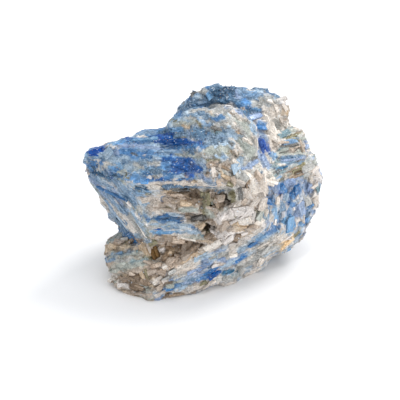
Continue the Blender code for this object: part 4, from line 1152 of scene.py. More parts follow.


# %% Where the crystals lie
# For each part of the rock, drawn one by one: mineral, from and to in pixels of the camera's picture,
# then the width of the bundle and how far it rises, in millimetres.
CRYSTALS = {
    "tip": [
        ("indigo", 89, 155, 101, 152, 1.9, 0.4), ("indigo", 91, 151, 100, 150, 1.1, 0.4),
        ("blue", 86, 166, 97, 164, 1.5, 0.6), ("grey_blue", 85, 158, 101, 157, 0.7, 0.6),
    ],
    "plate": [
        ("sky_blue", 110, 142, 140, 139, 1.3, 0.4), ("sky_blue", 132, 140, 158, 137, 1.2, 0.4),
        ("pale_blue", 104, 156, 112, 148, 2.2, 0.5), ("lavender", 110, 154, 117, 149, 1.4, 0.4),
        ("bright_blue", 132, 180, 140, 179, 1.5, 0.4), ("bright_blue", 140, 181, 149, 181, 1.3, 0.4),
        ("deep_blue", 162, 141, 174, 140, 2.2, 0.5), ("deep_blue", 172, 142, 187, 141, 1.4, 0.4),
    ],
    "lip": [
        ("sand", 152, 183, 178, 182, 0.5, 0.4), ("slate", 162, 187, 180, 186, 0.8, 0.5),
        ("dark_grey", 160, 189, 180, 188, 0.7, 0.4), ("slate", 178, 188, 200, 187, 0.6, 0.5),
        ("dark_grey", 170, 191, 190, 191, 0.5, 0.3), ("sand", 196, 185, 230, 186, 0.5, 0.4),
        ("cream", 148, 185, 160, 188, 0.9, 0.4), ("ash", 200, 188, 216, 189, 0.5, 0.4),
    ],
    "fan": [
        ("lavender", 88, 181, 112, 193, 0.9, 0.4), ("grey_blue", 92, 178, 114, 188, 0.6, 0.4),
        ("blue", 96, 186, 124, 199, 0.6, 0.4), ("sand", 99, 196, 108, 208, 0.7, 0.4),
        ("grey_blue", 104, 198, 128, 226, 0.9, 0.4), ("pale_blue", 112, 196, 132, 220, 0.6, 0.4),
        ("cream", 119, 212, 135, 231, 1.1, 0.5), ("grey_blue", 110, 212, 128, 234, 1, 0.4),
        ("pale_blue", 108, 206, 122, 226, 0.6, 0.4), ("blue", 122, 228, 140, 247, 1.1, 0.5),
        ("pale_blue", 130, 208, 147, 234, 0.9, 0.5), ("ash", 126, 212, 142, 236, 0.7, 0.5),
        ("slate", 109, 216, 118, 232, 1.6, 0.9), ("green_grey", 136, 208, 150, 236, 0.6, 0.5),
        ("deep_slate", 128, 234, 140, 247, 0.5, 0.5), ("pale_blue", 136, 203, 149, 204, 1.6, 0.4),
        ("deep_slate", 132, 187, 148, 191, 0.6, 0.4), ("slate", 128, 189, 148, 194, 0.7, 0.4),
        ("quartz", 126, 202, 130, 207, 0.6, 0.5), ("ash", 134, 222, 146, 242, 0.5, 0.5),
        ("cream", 138, 224, 148, 242, 0.5, 0.5), ("olive", 142, 229, 147, 234, 0.6, 0.4),
        ("grey_blue", 124, 184, 140, 190, 0.8, 0.4), ("ash", 126, 186, 140, 190, 0.5, 0.4),
        ("olive", 134, 188, 148, 195, 0.5, 0.4), ("slate", 118, 194, 134, 203, 0.6, 0.4),
        ("deep_slate", 91, 171, 112, 177, 1.4, 0.6), ("cream", 112, 204, 128, 228, 0.9, 0.5),
        ("pale_blue", 117, 216, 130, 234, 0.9, 0.5), ("quartz", 122, 214, 134, 230, 0.7, 0.6),
    ],
    "ledge": [
        ("blue", 143, 220, 172, 217, 1.3, 0.6), ("slate", 158, 218, 172, 217, 0.7, 0.8),
        ("pale_blue", 146, 224, 182, 224, 0.9, 0.8), ("green_grey", 152, 226, 184, 226, 0.6, 0.9),
        ("deep_blue", 150, 228, 162, 230, 0.6, 0.8), ("sky_blue", 156, 232, 176, 232, 1.1, 0.7),
        ("pale_blue", 172, 229, 200, 230, 1.3, 0.6), ("green_grey", 178, 234, 207, 239, 1.2, 0.6),
        ("cream", 176, 237, 196, 241, 0.6, 0.5), ("quartz", 146, 228, 155, 224, 0.5, 0.6),
    ],
    "undercut": [
        ("olive", 203, 191, 204, 212, 1.1, 0.7), ("dark_grey", 201, 192, 202, 209, 0.6, 0.6),
        ("olive", 208, 193, 209, 206, 0.8, 0.6), ("green_grey", 213, 195, 212, 204, 0.8, 0.6),
        ("green_grey", 180, 210, 198, 210, 1.1, 0.6), ("olive", 232, 191, 233, 203, 1.2, 0.5),
        ("dark_grey", 240, 188, 241, 200, 0.8, 0.4), ("brown", 217, 196, 219, 206, 1.4, 0.5),
        ("dark_grey", 192, 218, 206, 217, 1.2, 0.5), ("sand", 152, 196, 166, 195, 0.7, 0.4),
        ("beige", 164, 202, 178, 201, 0.8, 0.4), ("sand", 146, 206, 160, 205, 0.9, 0.4),
        ("beige", 160, 210, 176, 211, 0.8, 0.4), ("buff", 170, 195, 184, 195, 0.6, 0.4),
        ("tan", 172, 199, 182, 201, 0.6, 0.4),
    ],
    "knot": [
        ("quartz", 232, 216, 240, 208, 2.2, 0.8), ("quartz", 240, 218, 250, 210, 2.2, 0.7),
        ("quartz", 219, 220, 228, 214, 1.8, 0.7), ("quartz", 218, 234, 228, 228, 1.8, 0.7),
        ("quartz", 222, 244, 232, 236, 1.8, 0.8), ("tan", 237, 228, 246, 224, 1.5, 0.6),
        ("beige", 248, 232, 256, 226, 1.5, 0.6), ("brown", 233, 241, 240, 234, 0.8, 0.5),
        ("quartz", 242, 239, 250, 236, 0.9, 0.6), ("cream", 252, 224, 266, 221, 0.9, 0.5),
    ],
    "slab": [
        ("cream", 198, 254, 220, 244, 1.8, 0.6), ("pale_blue", 194, 260, 213, 254, 1.2, 0.6),
        ("tan", 183, 262, 196, 254, 0.8, 0.5), ("cream", 180, 269, 196, 260, 1.1, 0.5),
        ("lavender", 211, 261, 229, 254, 1.2, 0.5), ("pale_blue", 236, 253, 252, 244, 1.2, 0.5),
        ("cream", 236, 242, 262, 225, 1.1, 0.6), ("blue", 248, 249, 277, 229, 0.9, 0.5),
        ("sky_blue", 252, 242, 270, 232, 0.8, 0.5), ("pale_blue", 262, 241, 278, 231, 0.7, 0.5),
        ("blue", 233, 264, 245, 256, 1.3, 0.7), ("pale_blue", 225, 267, 235, 261, 1, 0.6),
        ("deep_teal", 223, 274, 233, 273, 1.4, 0.5), ("blue", 202, 277, 215, 268, 1.5, 0.6),
        ("deep_blue", 208, 279, 221, 269, 1.3, 0.6), ("slate", 182, 284, 202, 276, 1.2, 0.5),
        ("ash", 172, 281, 200, 270, 0.8, 0.5), ("blue", 166, 291, 184, 286, 0.7, 0.5),
        ("gold", 281, 248, 290, 240, 1.2, 0.5), ("quartz", 285, 241, 292, 236, 0.9, 0.5),
        ("tan", 268, 249, 285, 243, 0.7, 0.5), ("sky_blue", 283, 252, 291, 249, 0.8, 0.5),
        ("olive", 294, 238, 300, 231, 0.9, 0.5), ("cream", 276, 239, 290, 231, 0.9, 0.5),
        ("quartz", 228, 250, 238, 243, 0.7, 0.5), ("tan", 229, 255, 236, 254, 0.9, 0.5),
        ("lavender", 198, 269, 213, 261, 1.2, 0.6), ("ash", 206, 262, 226, 253, 0.9, 0.5),
        ("cream", 202, 251, 222, 241, 1.2, 0.7), ("ash", 240, 268, 262, 256, 1.2, 0.5),
        ("ash", 256, 252, 278, 243, 1.2, 0.5), ("cream", 258, 248, 272, 241, 0.7, 0.6),
        ("sand", 196, 289, 220, 281, 0.9, 0.5), ("sand", 178, 273, 196, 266, 0.9, 0.5),
        ("lavender", 186, 275, 204, 266, 0.7, 0.6), ("brown", 164, 298, 198, 294, 0.9, 0.4),
    ],
    "foot": [
        ("grey_blue", 107, 259, 122, 254, 1.6, 0.6), ("teal", 116, 255, 137, 250, 1.4, 0.5),
        ("green_grey", 107, 269, 128, 265, 1.6, 0.5), ("green_grey", 122, 266, 147, 261, 1.5, 0.5),
        ("green_grey", 109, 243, 121, 234, 1.3, 0.5), ("tan", 142, 243, 150, 257, 1.9, 1),
        ("sand", 147, 243, 151, 255, 0.6, 0.8), ("amber", 152, 246, 157, 260, 1.9, 0.8),
        ("dark_brown", 156, 247, 159, 256, 0.8, 0.5), ("quartz", 118, 284, 129, 288, 0.6, 0.4),
        ("cream", 151, 284, 160, 279, 0.9, 0.4), ("quartz", 163, 281, 171, 276, 1, 0.5),
        ("brown", 132, 271, 140, 284, 1, 0.6), ("tan", 139, 270, 145, 281, 0.8, 0.6),
        ("olive", 145, 269, 149, 282, 0.8, 0.6), ("beige", 150, 270, 156, 279, 0.8, 0.5),
        ("tan", 110, 248, 119, 245, 1.1, 0.5), ("brown", 130, 285, 144, 290, 1, 0.5),
        ("ash", 152, 259, 162, 266, 0.8, 0.5), ("buff", 160, 271, 170, 268, 0.8, 0.5),
    ],
    "right_blues": [
        ("blue", 290, 197, 298, 189, 1.7, 0.6), ("lavender", 283, 184, 295, 178, 1.1, 0.5),
        ("lavender", 268, 189, 278, 186, 1.2, 0.5), ("deep_blue", 288, 203, 294, 206, 1.5, 0.5),
        ("lavender", 295, 217, 303, 202, 1.5, 0.6), ("sky_blue", 284, 219, 292, 231, 1.8, 0.6),
        ("sky_blue", 289, 216, 295, 228, 1, 0.6), ("pale_blue", 264, 206, 265, 220, 0.8, 0.5),
        ("sky_blue", 268, 208, 268, 219, 0.6, 0.5), ("cream", 272, 205, 272, 220, 0.7, 0.5),
        ("sky_blue", 275, 207, 277, 221, 0.8, 0.5), ("blue", 303, 226, 309, 217, 1, 0.5),
        ("blue", 266, 200, 274, 204, 1.2, 0.4), ("blue", 305, 211, 314, 204, 0.9, 0.5),
        ("lavender", 300, 206, 306, 214, 1, 0.4), ("ash", 297, 199, 304, 205, 0.8, 0.4),
    ],
    "valley": [
        ("bright_blue", 257, 125, 268, 126, 2, 0.8), ("violet", 261, 139, 265, 153, 1.5, 0.6),
        ("lavender", 263, 153, 267, 166, 1.4, 0.5), ("cream", 267, 134, 279, 129, 1.8, 0.5),
        ("cream", 262, 119, 276, 116, 1.5, 0.4), ("lavender", 250, 118, 263, 114, 1.1, 0.4),
        ("grey_blue", 270, 152, 275, 161, 1, 0.5), ("cream", 257, 138, 258, 152, 0.5, 0.5),
        ("cream", 262, 180, 277, 185, 1.4, 0.5), ("quartz", 252, 186, 261, 178, 1.3, 0.5),
    ],
    "ribs": [
        ("teal", 278, 137, 291, 131, 1.4, 0.6), ("olive", 282, 140, 299, 134, 0.6, 0.7),
        ("grey_blue", 284, 143, 298, 140, 1.1, 0.6), ("dark_grey", 279, 147, 303, 143, 0.4, 0.6),
        ("green_grey", 278, 151, 289, 148, 1, 0.6), ("green_grey", 279, 155, 304, 152, 0.7, 0.7),
        ("slate", 279, 159, 300, 157, 0.5, 0.6), ("lavender", 281, 161, 304, 158, 0.6, 0.6),
        ("slate", 282, 164, 304, 163, 0.6, 0.6), ("deep_teal", 276, 173, 289, 164, 0.9, 0.5),
        ("olive", 290, 172, 304, 167, 2, 0.9), ("brown", 292, 168, 303, 165, 0.9, 0.9),
        ("brown", 289, 179, 305, 174, 0.8, 0.5), ("sand", 292, 126, 304, 132, 1, 0.3),
        ("beige", 277, 143, 291, 142, 0.5, 0.5), ("beige", 300, 140, 306, 154, 0.7, 0.5),
        ("dark_brown", 294, 173, 303, 170, 0.6, 0.9), ("olive", 288, 137, 300, 141, 0.5, 0.6),
    ],
    "hump": [
        ("slate", 194, 113, 207, 112, 1.1, 0.3), ("ash", 236, 108, 250, 123, 0.6, 0.3),
        ("pale_blue", 214, 148, 230, 142, 0.7, 0.3), ("cream", 244, 140, 252, 146, 1.4, 0.4),
        ("green_grey", 247, 146, 253, 157, 1.4, 0.4), ("pale_blue", 231, 171, 240, 159, 1.2, 0.5),
        ("lavender", 241, 171, 257, 161, 0.9, 0.4), ("tan", 221, 175, 231, 180, 0.7, 0.4),
        ("tan", 234, 130, 240, 134, 0.5, 0.4), ("deep_slate", 194, 137, 206, 131, 1.6, 0.3),
        ("ash", 209, 108, 220, 106, 1, 0.5), ("quartz", 221, 106, 234, 107, 1, 0.6),
        ("dark_grey", 208, 164, 221, 161, 0.8, 0.4), ("brown", 208, 167, 220, 170, 0.8, 0.4),
        ("ash", 190, 112, 205, 109, 0.9, 0.7), ("dark_grey", 210, 127, 222, 130, 0.8, 0.3),
        ("lavender", 234, 108, 244, 115, 0.8, 0.4), ("brown", 222, 166, 230, 170, 0.7, 0.4),
    ],
    "crest": [
        ("quartz", 277, 101, 286, 103, 1.1, 0.5), ("sky_blue", 207, 92, 211, 100, 1, 0.4),
        ("bright_blue", 238, 105, 247, 101, 1.2, 0.4), ("tan", 281, 105, 288, 115, 0.9, 0.5),
        ("grey_blue", 188, 104, 206, 101, 1, 0.3), ("deep_slate", 214, 96, 232, 92, 1.2, 0.3),
        ("grey_blue", 240, 95, 258, 93, 1.2, 0.3), ("deep_slate", 188, 106, 198, 104, 0.8, 0.3),
    ],
}
print("crystals:", sum(map(len, CRYSTALS.values())))

# %% Laths
LATH_WIDTH = 0.8
OVERLAP = 1.2
SUNK_SHARE, LEAST_SUNK = 0.6, 0.2
END_SHIFT = (-0.04, 0.16)
SIDE_LEAN = 0.25


def sunk(rng, out, depth):
    """How far one end of a lath goes into the rock."""
    return out * (depth * SUNK_SHARE * rng.uniform(LEAST_SUNK, 1))


crystal_bm = bmesh.new()
crystal_kinds, crystal_points, crystal_facet_lights = [], [], []
for area, group in CRYSTALS.items():
    rng = random.Random(area + " laths")
    for mineral, from_u, from_v, to_u, to_v, width, depth in group:
        count = max(1, round(width / LATH_WIDTH))
        (first, first_out), (last, last_out) = on_rock(from_u, from_v), on_rock(to_u, to_v)
        out = (first_out + last_out).normalized()
        side = out.cross(last - first).normalized()
        for number in range(count):
            share = (number + 0.5) / count - 0.5
            offset = side * (share * width)
            start, end = (first / MM) + offset, (last / MM) + offset
            run = end - start
            start += run * rng.uniform(*END_SHIFT) - sunk(rng, out, depth)
            end -= run * rng.uniform(*END_SHIFT) + sunk(rng, out, depth)
            shade = 1 + LATH_SHADE * rng.uniform(-1, 1)
            lean = out + side * rng.uniform(-SIDE_LEAN, SIDE_LEAN)
            size = (width / count * OVERLAP, depth)
            lath(crystal_bm, crystal_points, crystal_facet_lights, start, end, lean, *size, shade, rng)
        missing = len(crystal_points) - len(crystal_kinds)
        crystal_kinds += [MINERAL_NAMES.index(mineral)] * missing
print("laths:", len(crystal_bm.faces), "faces")

# %% Where the blocks lie
# For each part of the rock, drawn one by one: mineral, place in pixels, width and rise in millimetres.
BLOCKS = {
    "knot": [
        ("quartz", 238, 211, 3.4, 1), ("quartz", 246, 213, 3.2, 0.9), ("quartz", 228, 214, 2.6, 0.8),
        ("quartz", 221, 219, 2.4, 0.7), ("beige", 224, 226, 3, 0.9), ("quartz", 221, 232, 2.6, 0.8),
        ("quartz", 229, 238, 3.2, 1), ("tan", 241, 226, 2.6, 0.7), ("beige", 252, 227, 2.6, 0.7),
        ("tan", 234, 224, 2, 0.6), ("cream", 245, 221, 2.6, 0.6), ("olive", 236, 214, 1.2, 0.6),
        ("brown", 237, 237, 1.8, 0.6), ("quartz", 246, 237, 2, 0.7), ("cream", 258, 222, 2.6, 0.6),
    ],
    "right_sand": [
        ("cream", 254, 186, 3.4, 0.6), ("sand", 262, 183, 3.4, 0.6), ("cream", 271, 184, 3, 0.6),
        ("cream", 251, 177, 2.4, 0.5), ("brown", 247, 184, 1.8, 0.5), ("beige", 258, 176, 2.6, 0.7),
        ("sand", 250, 196, 3.4, 0.7), ("sand", 259, 196, 3, 0.7), ("sand", 254, 203, 3.6, 0.6),
        ("beige", 245, 200, 2, 0.6), ("sand", 246, 192, 2, 0.7), ("sand", 262, 204, 3, 0.6),
        ("green_grey", 261, 213, 3, 0.6),
    ],
    "under_hump": [
        ("sand", 214, 172, 2, 0.35), ("tan", 226, 177, 1.7, 0.35), ("beige", 218, 182, 2, 0.4),
        ("ash", 243, 176, 2.6, 0.4), ("beige", 234, 181, 2.2, 0.4), ("olive", 230, 185, 1.6, 0.4),
        ("sand", 240, 183, 2.2, 0.5),
    ],
    "hump_side": [
        ("green_grey", 249, 148, 3.2, 0.25), ("cream", 246, 141, 2.2, 0.25), ("sand", 236, 153, 1.8, 0.3),
        ("cream", 235, 163, 2.4, 0.35), ("pale_blue", 235, 169, 2.2, 0.35),
    ],
    "valley": [
        ("cream", 272, 129, 3.2, 0.4), ("cream", 271, 136, 2.6, 0.4), ("cream", 265, 118, 2.6, 0.3),
        ("sand", 274, 142, 2, 0.3), ("pale_blue", 260, 134, 1.8, 0.3),
    ],
    "crest_right": [
        ("quartz", 281, 100, 2.4, 0.5), ("sand", 284, 107, 2, 0.5), ("sand", 277, 108, 2, 0.4),
        ("tan", 286, 113, 1.6, 0.4), ("cream", 272, 103, 2.2, 0.3), ("sand", 280, 118, 2, 0.4),
    ],
    "right_edge": [
        ("ash", 308, 168, 2.8, 0.6), ("quartz", 314, 171, 2.6, 0.5), ("quartz", 315, 178, 3, 0.5),
        ("sand", 311, 178, 2.4, 0.6), ("sand", 313, 186, 2.2, 0.5), ("cream", 314, 194, 2.2, 0.4),
        ("lavender", 309, 186, 2.4, 0.7), ("teal", 317, 189, 1.4, 0.3), ("sand", 316, 201, 1.8, 0.5),
        ("ash", 307, 200, 2.2, 0.6),
    ],
    "right_blues": [
        ("lavender", 290, 181, 2.8, 0.7), ("blue", 296, 189, 2.4, 0.7), ("lavender", 273, 187, 2.6, 0.7),
        ("blue", 283, 188, 2.2, 0.6), ("sky_blue", 289, 224, 3.4, 0.6), ("lavender", 299, 208, 3.2, 0.6),
        ("pale_blue", 286, 197, 1.6, 0.6), ("quartz", 293, 208, 1, 0.5), ("sand", 277, 200, 1.8, 0.5),
        ("quartz", 275, 222, 1.4, 0.5), ("sand", 303, 219, 1.8, 0.5), ("cream", 266, 212, 1.8, 0.5),
    ],
    "undercut": [
        ("sand", 147, 199, 2.6, 0.5), ("sand", 156, 203, 2.4, 0.5), ("beige", 166, 199, 2.4, 0.5),
        ("sand", 172, 206, 2.2, 0.5), ("tan", 186, 203, 2, 0.5), ("beige", 219, 199, 2.6, 0.7),
        ("brown", 185, 194, 2, 0.5), ("sand", 238, 204, 2, 0.6), ("dark_grey", 198, 218, 2.2, 0.7),
    ],
    "cavity": [
        ("quartz", 162, 250, 1.2, 0.8), ("buff", 170, 244, 2.6, 0.8), ("buff", 178, 241, 2.4, 0.8),
        ("tan", 170, 253, 2.4, 0.8), ("buff", 184, 249, 2.8, 0.8), ("brown", 176, 250, 2.2, 0.7),
        ("buff", 190, 243, 2.2, 0.7), ("beige", 186, 256, 2.6, 0.8), ("buff", 178, 258, 2.4, 0.8),
        ("brown", 164, 258, 2.2, 0.7), ("beige", 170, 262, 2.4, 0.8), ("buff", 196, 248, 2, 0.7),
        ("olive", 153, 242, 1.8, 0.7), ("beige", 160, 241, 2, 0.7), ("brown", 168, 248, 1.6, 0.6),
        ("cream", 164, 266, 1.6, 0.7), ("buff", 156, 266, 2.2, 0.7), ("beige", 148, 263, 1.8, 0.7),
        ("brown", 209, 236, 2, 0.6), ("tan", 202, 226, 1.4, 0.5),
    ],
    "foot": [
        ("tan", 112, 247, 2, 0.7), ("beige", 119, 243, 2, 0.7), ("cream", 124, 240, 1.6, 0.6),
        ("brown", 131, 242, 1.6, 0.6), ("quartz", 122, 285, 1.8, 0.4), ("cream", 156, 281, 2.2, 0.5),
        ("ash", 166, 279, 2, 0.5), ("brown", 140, 276, 2.4, 0.6), ("beige", 134, 274, 2, 0.5),
        ("brown", 146, 283, 2.2, 0.6), ("beige", 152, 272, 2.4, 0.7), ("beige", 161, 273, 2.2, 0.7),
        ("cream", 112, 279, 1.8, 0.5), ("brown", 126, 279, 2, 0.5), ("beige", 160, 287, 2, 0.6),
        ("brown", 134, 287, 2, 0.5), ("ash", 172, 271, 2.2, 0.6), ("green_grey", 170, 286, 2, 0.5),
    ],
    "slab": [
        ("gold", 285, 244, 2.4, 0.7), ("gold", 289, 240, 1.8, 0.6), ("quartz", 290, 238, 1.4, 0.6),
        ("cream", 233, 255, 1.8, 0.6), ("ash", 246, 264, 2.6, 0.5), ("ash", 254, 258, 2.4, 0.5),
        ("ash", 265, 250, 2.4, 0.5), ("ash", 228, 279, 2.2, 0.5), ("sand", 207, 285, 2.2, 0.5),
        ("olive", 203, 283, 1.8, 0.5), ("ash", 240, 270, 2.2, 0.5), ("sand", 260, 262, 2, 0.5),
        ("cream", 232, 247, 2, 0.5),
    ],
}
print("blocks:", sum(map(len, BLOCKS.values())))

# %% Blocks
for area, group in BLOCKS.items():
    rng = random.Random(area + " blocks")
    for mineral, u, v, size, rise in group:
        spot, out = on_rock(u, v)
        along = sheaves[sheaf_at(np.array([spot / MM]))[0]].along
        block(crystal_bm, crystal_points, crystal_facet_lights, spot / MM, out, along, size, rise, rng)
        missing = len(crystal_points) - len(crystal_kinds)
        crystal_kinds += [MINERAL_NAMES.index(mineral)] * missing
bmesh.ops.recalc_face_normals(crystal_bm, faces=crystal_bm.faces)
crystal_mesh = bpy.data.meshes.new("kyanite_crystals")
crystal_bm.to_mesh(crystal_mesh)
crystal_bm.free()
shades = np.array([[shade] for shade, _ in crystal_points])
store_mineral(
    crystal_mesh, MAIN[crystal_kinds] * shades, SECOND[crystal_kinds] * shades, GLOSS[crystal_kinds],
    GLITTER[crystal_kinds], [fibre for _, fibre in crystal_points],
)
store(crystal_mesh, "facet", crystal_facet_lights, domain="FACE")
crystals = add_object("kyanite_crystals", crystal_mesh)
print("crystals:", triangle_count(crystal_mesh), "triangles")

# %% [markdown]
# ## Splinters, flakes and grains
#
# The broken surface is covered with small splinters of kyanite, flakes of mica and grains and blocks
# of quartz. There are far too many to place by hand, so Geometry Nodes scatter them over the skin:
# splinters where the mineral grows as blades, flakes on the mica, grains and blocks on the quartz.
# Each one is laid along its sheaf, tilted a little, and takes the colour of the rock under it. A
# particle system could do it too, but it cannot read which mineral grows where.

# %% Shapes to scatter
SHAPES_OF_EACH = 4
SPLINTER_PROFILE = ((-0.5, -0.5), (0.5, -0.5), (0.45, 0.3), (0.1, 0.5), (-0.45, 0.35))
SPLINTER_SLANT, SPLINTER_END = 0.12, (0.7, 1.0)
FLAKE_CORNERS, FLAKE_TAPER = 6, 0.92
FLAKE_TURN, FLAKE_REACH = 18, (0.38, 0.55)
GRAIN_CORNERS = 9


def splinter_shape(rng):
    """A bar one unit long, wide and high, with broken ends, that stands half in the rock."""
    bm = bmesh.new()
    rings = []
    for end in (-0.5, 0.0, 0.5):
        slant = rng.uniform(-SPLINTER_SLANT, SPLINTER_SLANT)
        narrow = rng.uniform(*SPLINTER_END) if end else 1.0
        ring = []
        for across, high in SPLINTER_PROFILE:
            ring.append(bm.verts.new((end + slant * across, across * narrow, high * narrow)))
        rings.append(ring)
    bridged(bm, rings)
    return bm


def flake_shape(rng):
    """A thin, six-sided plate of mica."""
    bm = bmesh.new()
    corners = []
    for number in range(FLAKE_CORNERS):
        angle = math.radians(360 / FLAKE_CORNERS * number + rng.uniform(-FLAKE_TURN, FLAKE_TURN))
        far = rng.uniform(*FLAKE_REACH)
        corners.append((far * math.cos(angle), far * math.sin(angle)))
    low = [bm.verts.new((x, y, -0.5)) for x, y in corners]
    high = [bm.verts.new((x * FLAKE_TAPER, y * FLAKE_TAPER, 0.5)) for x, y in corners]
    bridged(bm, [high, low])
    return bm


def grain_shape(rng):
    """A small, angular lump."""
    bm = bmesh.new()
    for _ in range(GRAIN_CORNERS):
        bm.verts.new(Vector((rng.gauss(0, 1), rng.gauss(0, 1), rng.gauss(0, 1))).normalized() / 2)
    hull = bmesh.ops.convex_hull(bm, input=bm.verts)
    inside = [v for v in hull["geom_interior"] if isinstance(v, bmesh.types.BMVert)]
    bmesh.ops.delete(bm, geom=inside, context="VERTS")
    return bm


def shape_collection(name, maker, seed):
    """A few shapes of one kind. Every face gets a number, from which it takes a painted brightness, as if
    it faced the light its own way.
    """
    collection = bpy.data.collections.new(name)
    rng = random.Random(seed)
    for number in range(SHAPES_OF_EACH):
        bm = maker(rng)
        bmesh.ops.recalc_face_normals(bm, faces=bm.faces)
        mesh = bpy.data.meshes.new(f"{name}_{number}")
        bm.to_mesh(mesh)
        bm.free()
        store(mesh, "facet", [rng.random() for _ in mesh.polygons], domain="FACE")
        collection.objects.link(bpy.data.objects.new(mesh.name, mesh))
    return collection


shapes = {
    "blade": shape_collection("splinter_shapes", splinter_shape, 3),
    "flake": shape_collection("flake_shapes", flake_shape, 4),
    "grain": shape_collection("grain_shapes", grain_shape, 5),
    "block": shape_collection("block_shapes", cut_block, 6),
}

# %% A Geometry Nodes tree
SCATTER_INPUTS = {
    "Skin": "Geometry", "Shapes": "Collection", "Density": "Float", "Smallest": "Vector",
    "Largest": "Vector", "Tilt": "Vector", "Lift": "Float", "Seed": "Int", "Finish": "Material",
}


class Tree:
    """A Geometry Nodes tree, built node by node."""

    def __init__(self, name, inputs):
        self.tree = bpy.data.node_groups.new(name, "GeometryNodeTree")
        self.identifiers = {}
        for title, kind in inputs.items():
            socket = self.tree.interface.new_socket(
                title, in_out="INPUT", socket_type="NodeSocket" + kind
            )
            self.identifiers[title] = socket.identifier
        self.tree.interface.new_socket("Geometry", in_out="OUTPUT", socket_type="NodeSocketGeometry")
        self.given = self.tree.nodes.new("NodeGroupInput").outputs

    def node(self, kind, settings=None, inputs=None, output=0):
        return add_node(self.tree, kind, settings, inputs).outputs[output]

    def attribute(self, name, kind="FLOAT"):
        return self.node("GeometryNodeInputNamedAttribute", {"data_type": kind}, {"Name": name})

    def chance(self, kind, inputs, output=0):
        return self.node("FunctionNodeRandomValue", {"data_type": kind}, inputs, output)


# %% The scattering tree
def scattered_points(build, habit):
    """Points on the skin, the closer together the more of this habit grows there."""
    density = build.node(
        "ShaderNodeMath", {"operation": "MULTIPLY"}, {0: build.attribute(habit), 1: build.given["Density"]}
    )
    return build.node(
        "GeometryNodeDistributePointsOnFaces", {"distribute_method": "RANDOM"},
        {"Mesh": build.given["Skin"], "Density": density, "Seed": build.given["Seed"]}, "Points",
    )


def laid_in_sheaf(build):
    """A turn that lays a shape along its sheaf, flat on the rock, and then tilts it by chance."""
    tilt, seed = build.given["Tilt"], build.given["Seed"]
    outward = build.attribute("outward", "FLOAT_VECTOR")
    upright = build.node("FunctionNodeAlignRotationToVector", {"axis": "Z"}, {"Vector": outward})
    laid = build.node(
        "FunctionNodeAlignRotationToVector", {"axis": "X", "pivot_axis": "Z"},
        {"Rotation": upright, "Vector": build.attribute("along", "FLOAT_VECTOR")},
    )
    other_way = build.node("ShaderNodeVectorMath", {"operation": "SCALE"}, {0: tilt, "Scale": -1.0})
    own = build.node("GeometryNodeInputID")
    angles = build.chance("FLOAT_VECTOR", {0: other_way, 1: tilt, "ID": own, "Seed": seed})
    return build.node(
        "FunctionNodeRotateRotation", {"rotation_space": "LOCAL"},
        {0: laid, 1: build.node("FunctionNodeEulerToRotation", None, {0: angles})},
    )


def scatter_tree(habit):
    """Scatters shapes over the skin where its attribute of this habit is 1."""
    build = Tree("scatter_" + habit, SCATTER_INPUTS)
    given = build.given
    picked = build.node(
        "GeometryNodeCollectionInfo", None,
        {"Collection": given["Shapes"], "Separate Children": True, "Reset Children": True},
    )
    placed = build.node("GeometryNodeInstanceOnPoints", None, {
        "Points": scattered_points(build, habit), "Instance": picked, "Pick Instance": True,
        "Rotation": laid_in_sheaf(build),
        "Scale": build.chance("FLOAT_VECTOR", {0: given["Smallest"], 1: given["Largest"]}),
    })
    lift = build.node("ShaderNodeCombineXYZ", None, {"Z": given["Lift"]})
    lifted = build.node("GeometryNodeTranslateInstances", None, {"Instances": placed, "Translation": lift})
    toned = build.node(
        "GeometryNodeStoreNamedAttribute", {"data_type": "FLOAT", "domain": "INSTANCE"},
        {"Geometry": lifted, "Name": "tone", "Value": build.chance("FLOAT", {2: 0.0, 3: 1.0}, 1)},
    )
    real = build.node("GeometryNodeRealizeInstances", None, {"Geometry": toned})
    inputs = {"Geometry": real, "Material": given["Finish"]}
    finished = build.node("GeometryNodeSetMaterial", None, inputs)
    add_node(build.tree, "NodeGroupOutput", None, {"Geometry": finished})
    return build


def scattered(name, habit, finish, seed, density, smallest, largest, tilt, lift):
    """One mesh of all the pieces of a habit. Sizes are in millimetres, tilts in degrees."""
    build = scatter_tree(habit)
    obj = add_object(name, skin.data.copy())
    modifier = obj.modifiers.new("scatter", "NODES")
    modifier.node_group = build.tree
    values = {
        "Shapes": shapes[habit], "Density": density / MM**2, "Smallest": [s * MM for s in smallest],
        "Largest": [s * MM for s in largest], "Tilt": [math.radians(t) for t in tilt],
        "Lift": lift * MM, "Seed": seed, "Finish": finish.material,
    }
    for title, value in values.items():
        modifier[build.identifiers[title]] = value
    plain_mesh(obj)
    print(name, triangle_count(obj.data), "triangles")
    return obj


# %% [markdown]
# ## Mineral finishes
#
# Kyanite is glassy, mica is pearly and quartz is greasy, and all of them glitter. The colour comes
# from the blades. Over it each finish adds what is smaller than a blade: streaks, specks of other
# grains, and tiny facets that each face another way, so that some of them catch the light. It also
# paints light and shade: white specks as glints, dark pits and cracks as shade, light threads as
# highlights, and each facet a little lighter or darker. These could be a scanned picture, but
# patterns worked out from the place have no seam and no end.

# %% Light and dark
LIGHTNESS = 0.94
# Patterns on the rock, in repeats a metre, and along the strands, in repeats a blade.
CLOUDS, MOTTLE, PITS, SPECKS = 420.0, 900.0, 1300.0, 2600.0
FIBRES, THREADS, STRANDS = 3.2, 1.9, 2.1
FACETS, GLINT_AND_RUST_CELLS = 1000 / 1.1, 1000 / 0.3
SPECKED, GLITTER_SPECKS = 0.6, 2.0
PIT_LEVEL, PIT_EDGE, PAINTED_PIT_SHADE = 0.42, 9.0, 0.5
# The white specks are painted glints; the rust specks are the rock's own colour.
PAINTED_GLINT_WHITE, PAINTED_GLINT_SHARE = (0.7, 0.78, 0.86, 1), 0.08
RUST, RUST_SHARE = (0.40, 0.26, 0.14, 1), 0.025
GLINT_AND_RUST_STRENGTH = 0.6


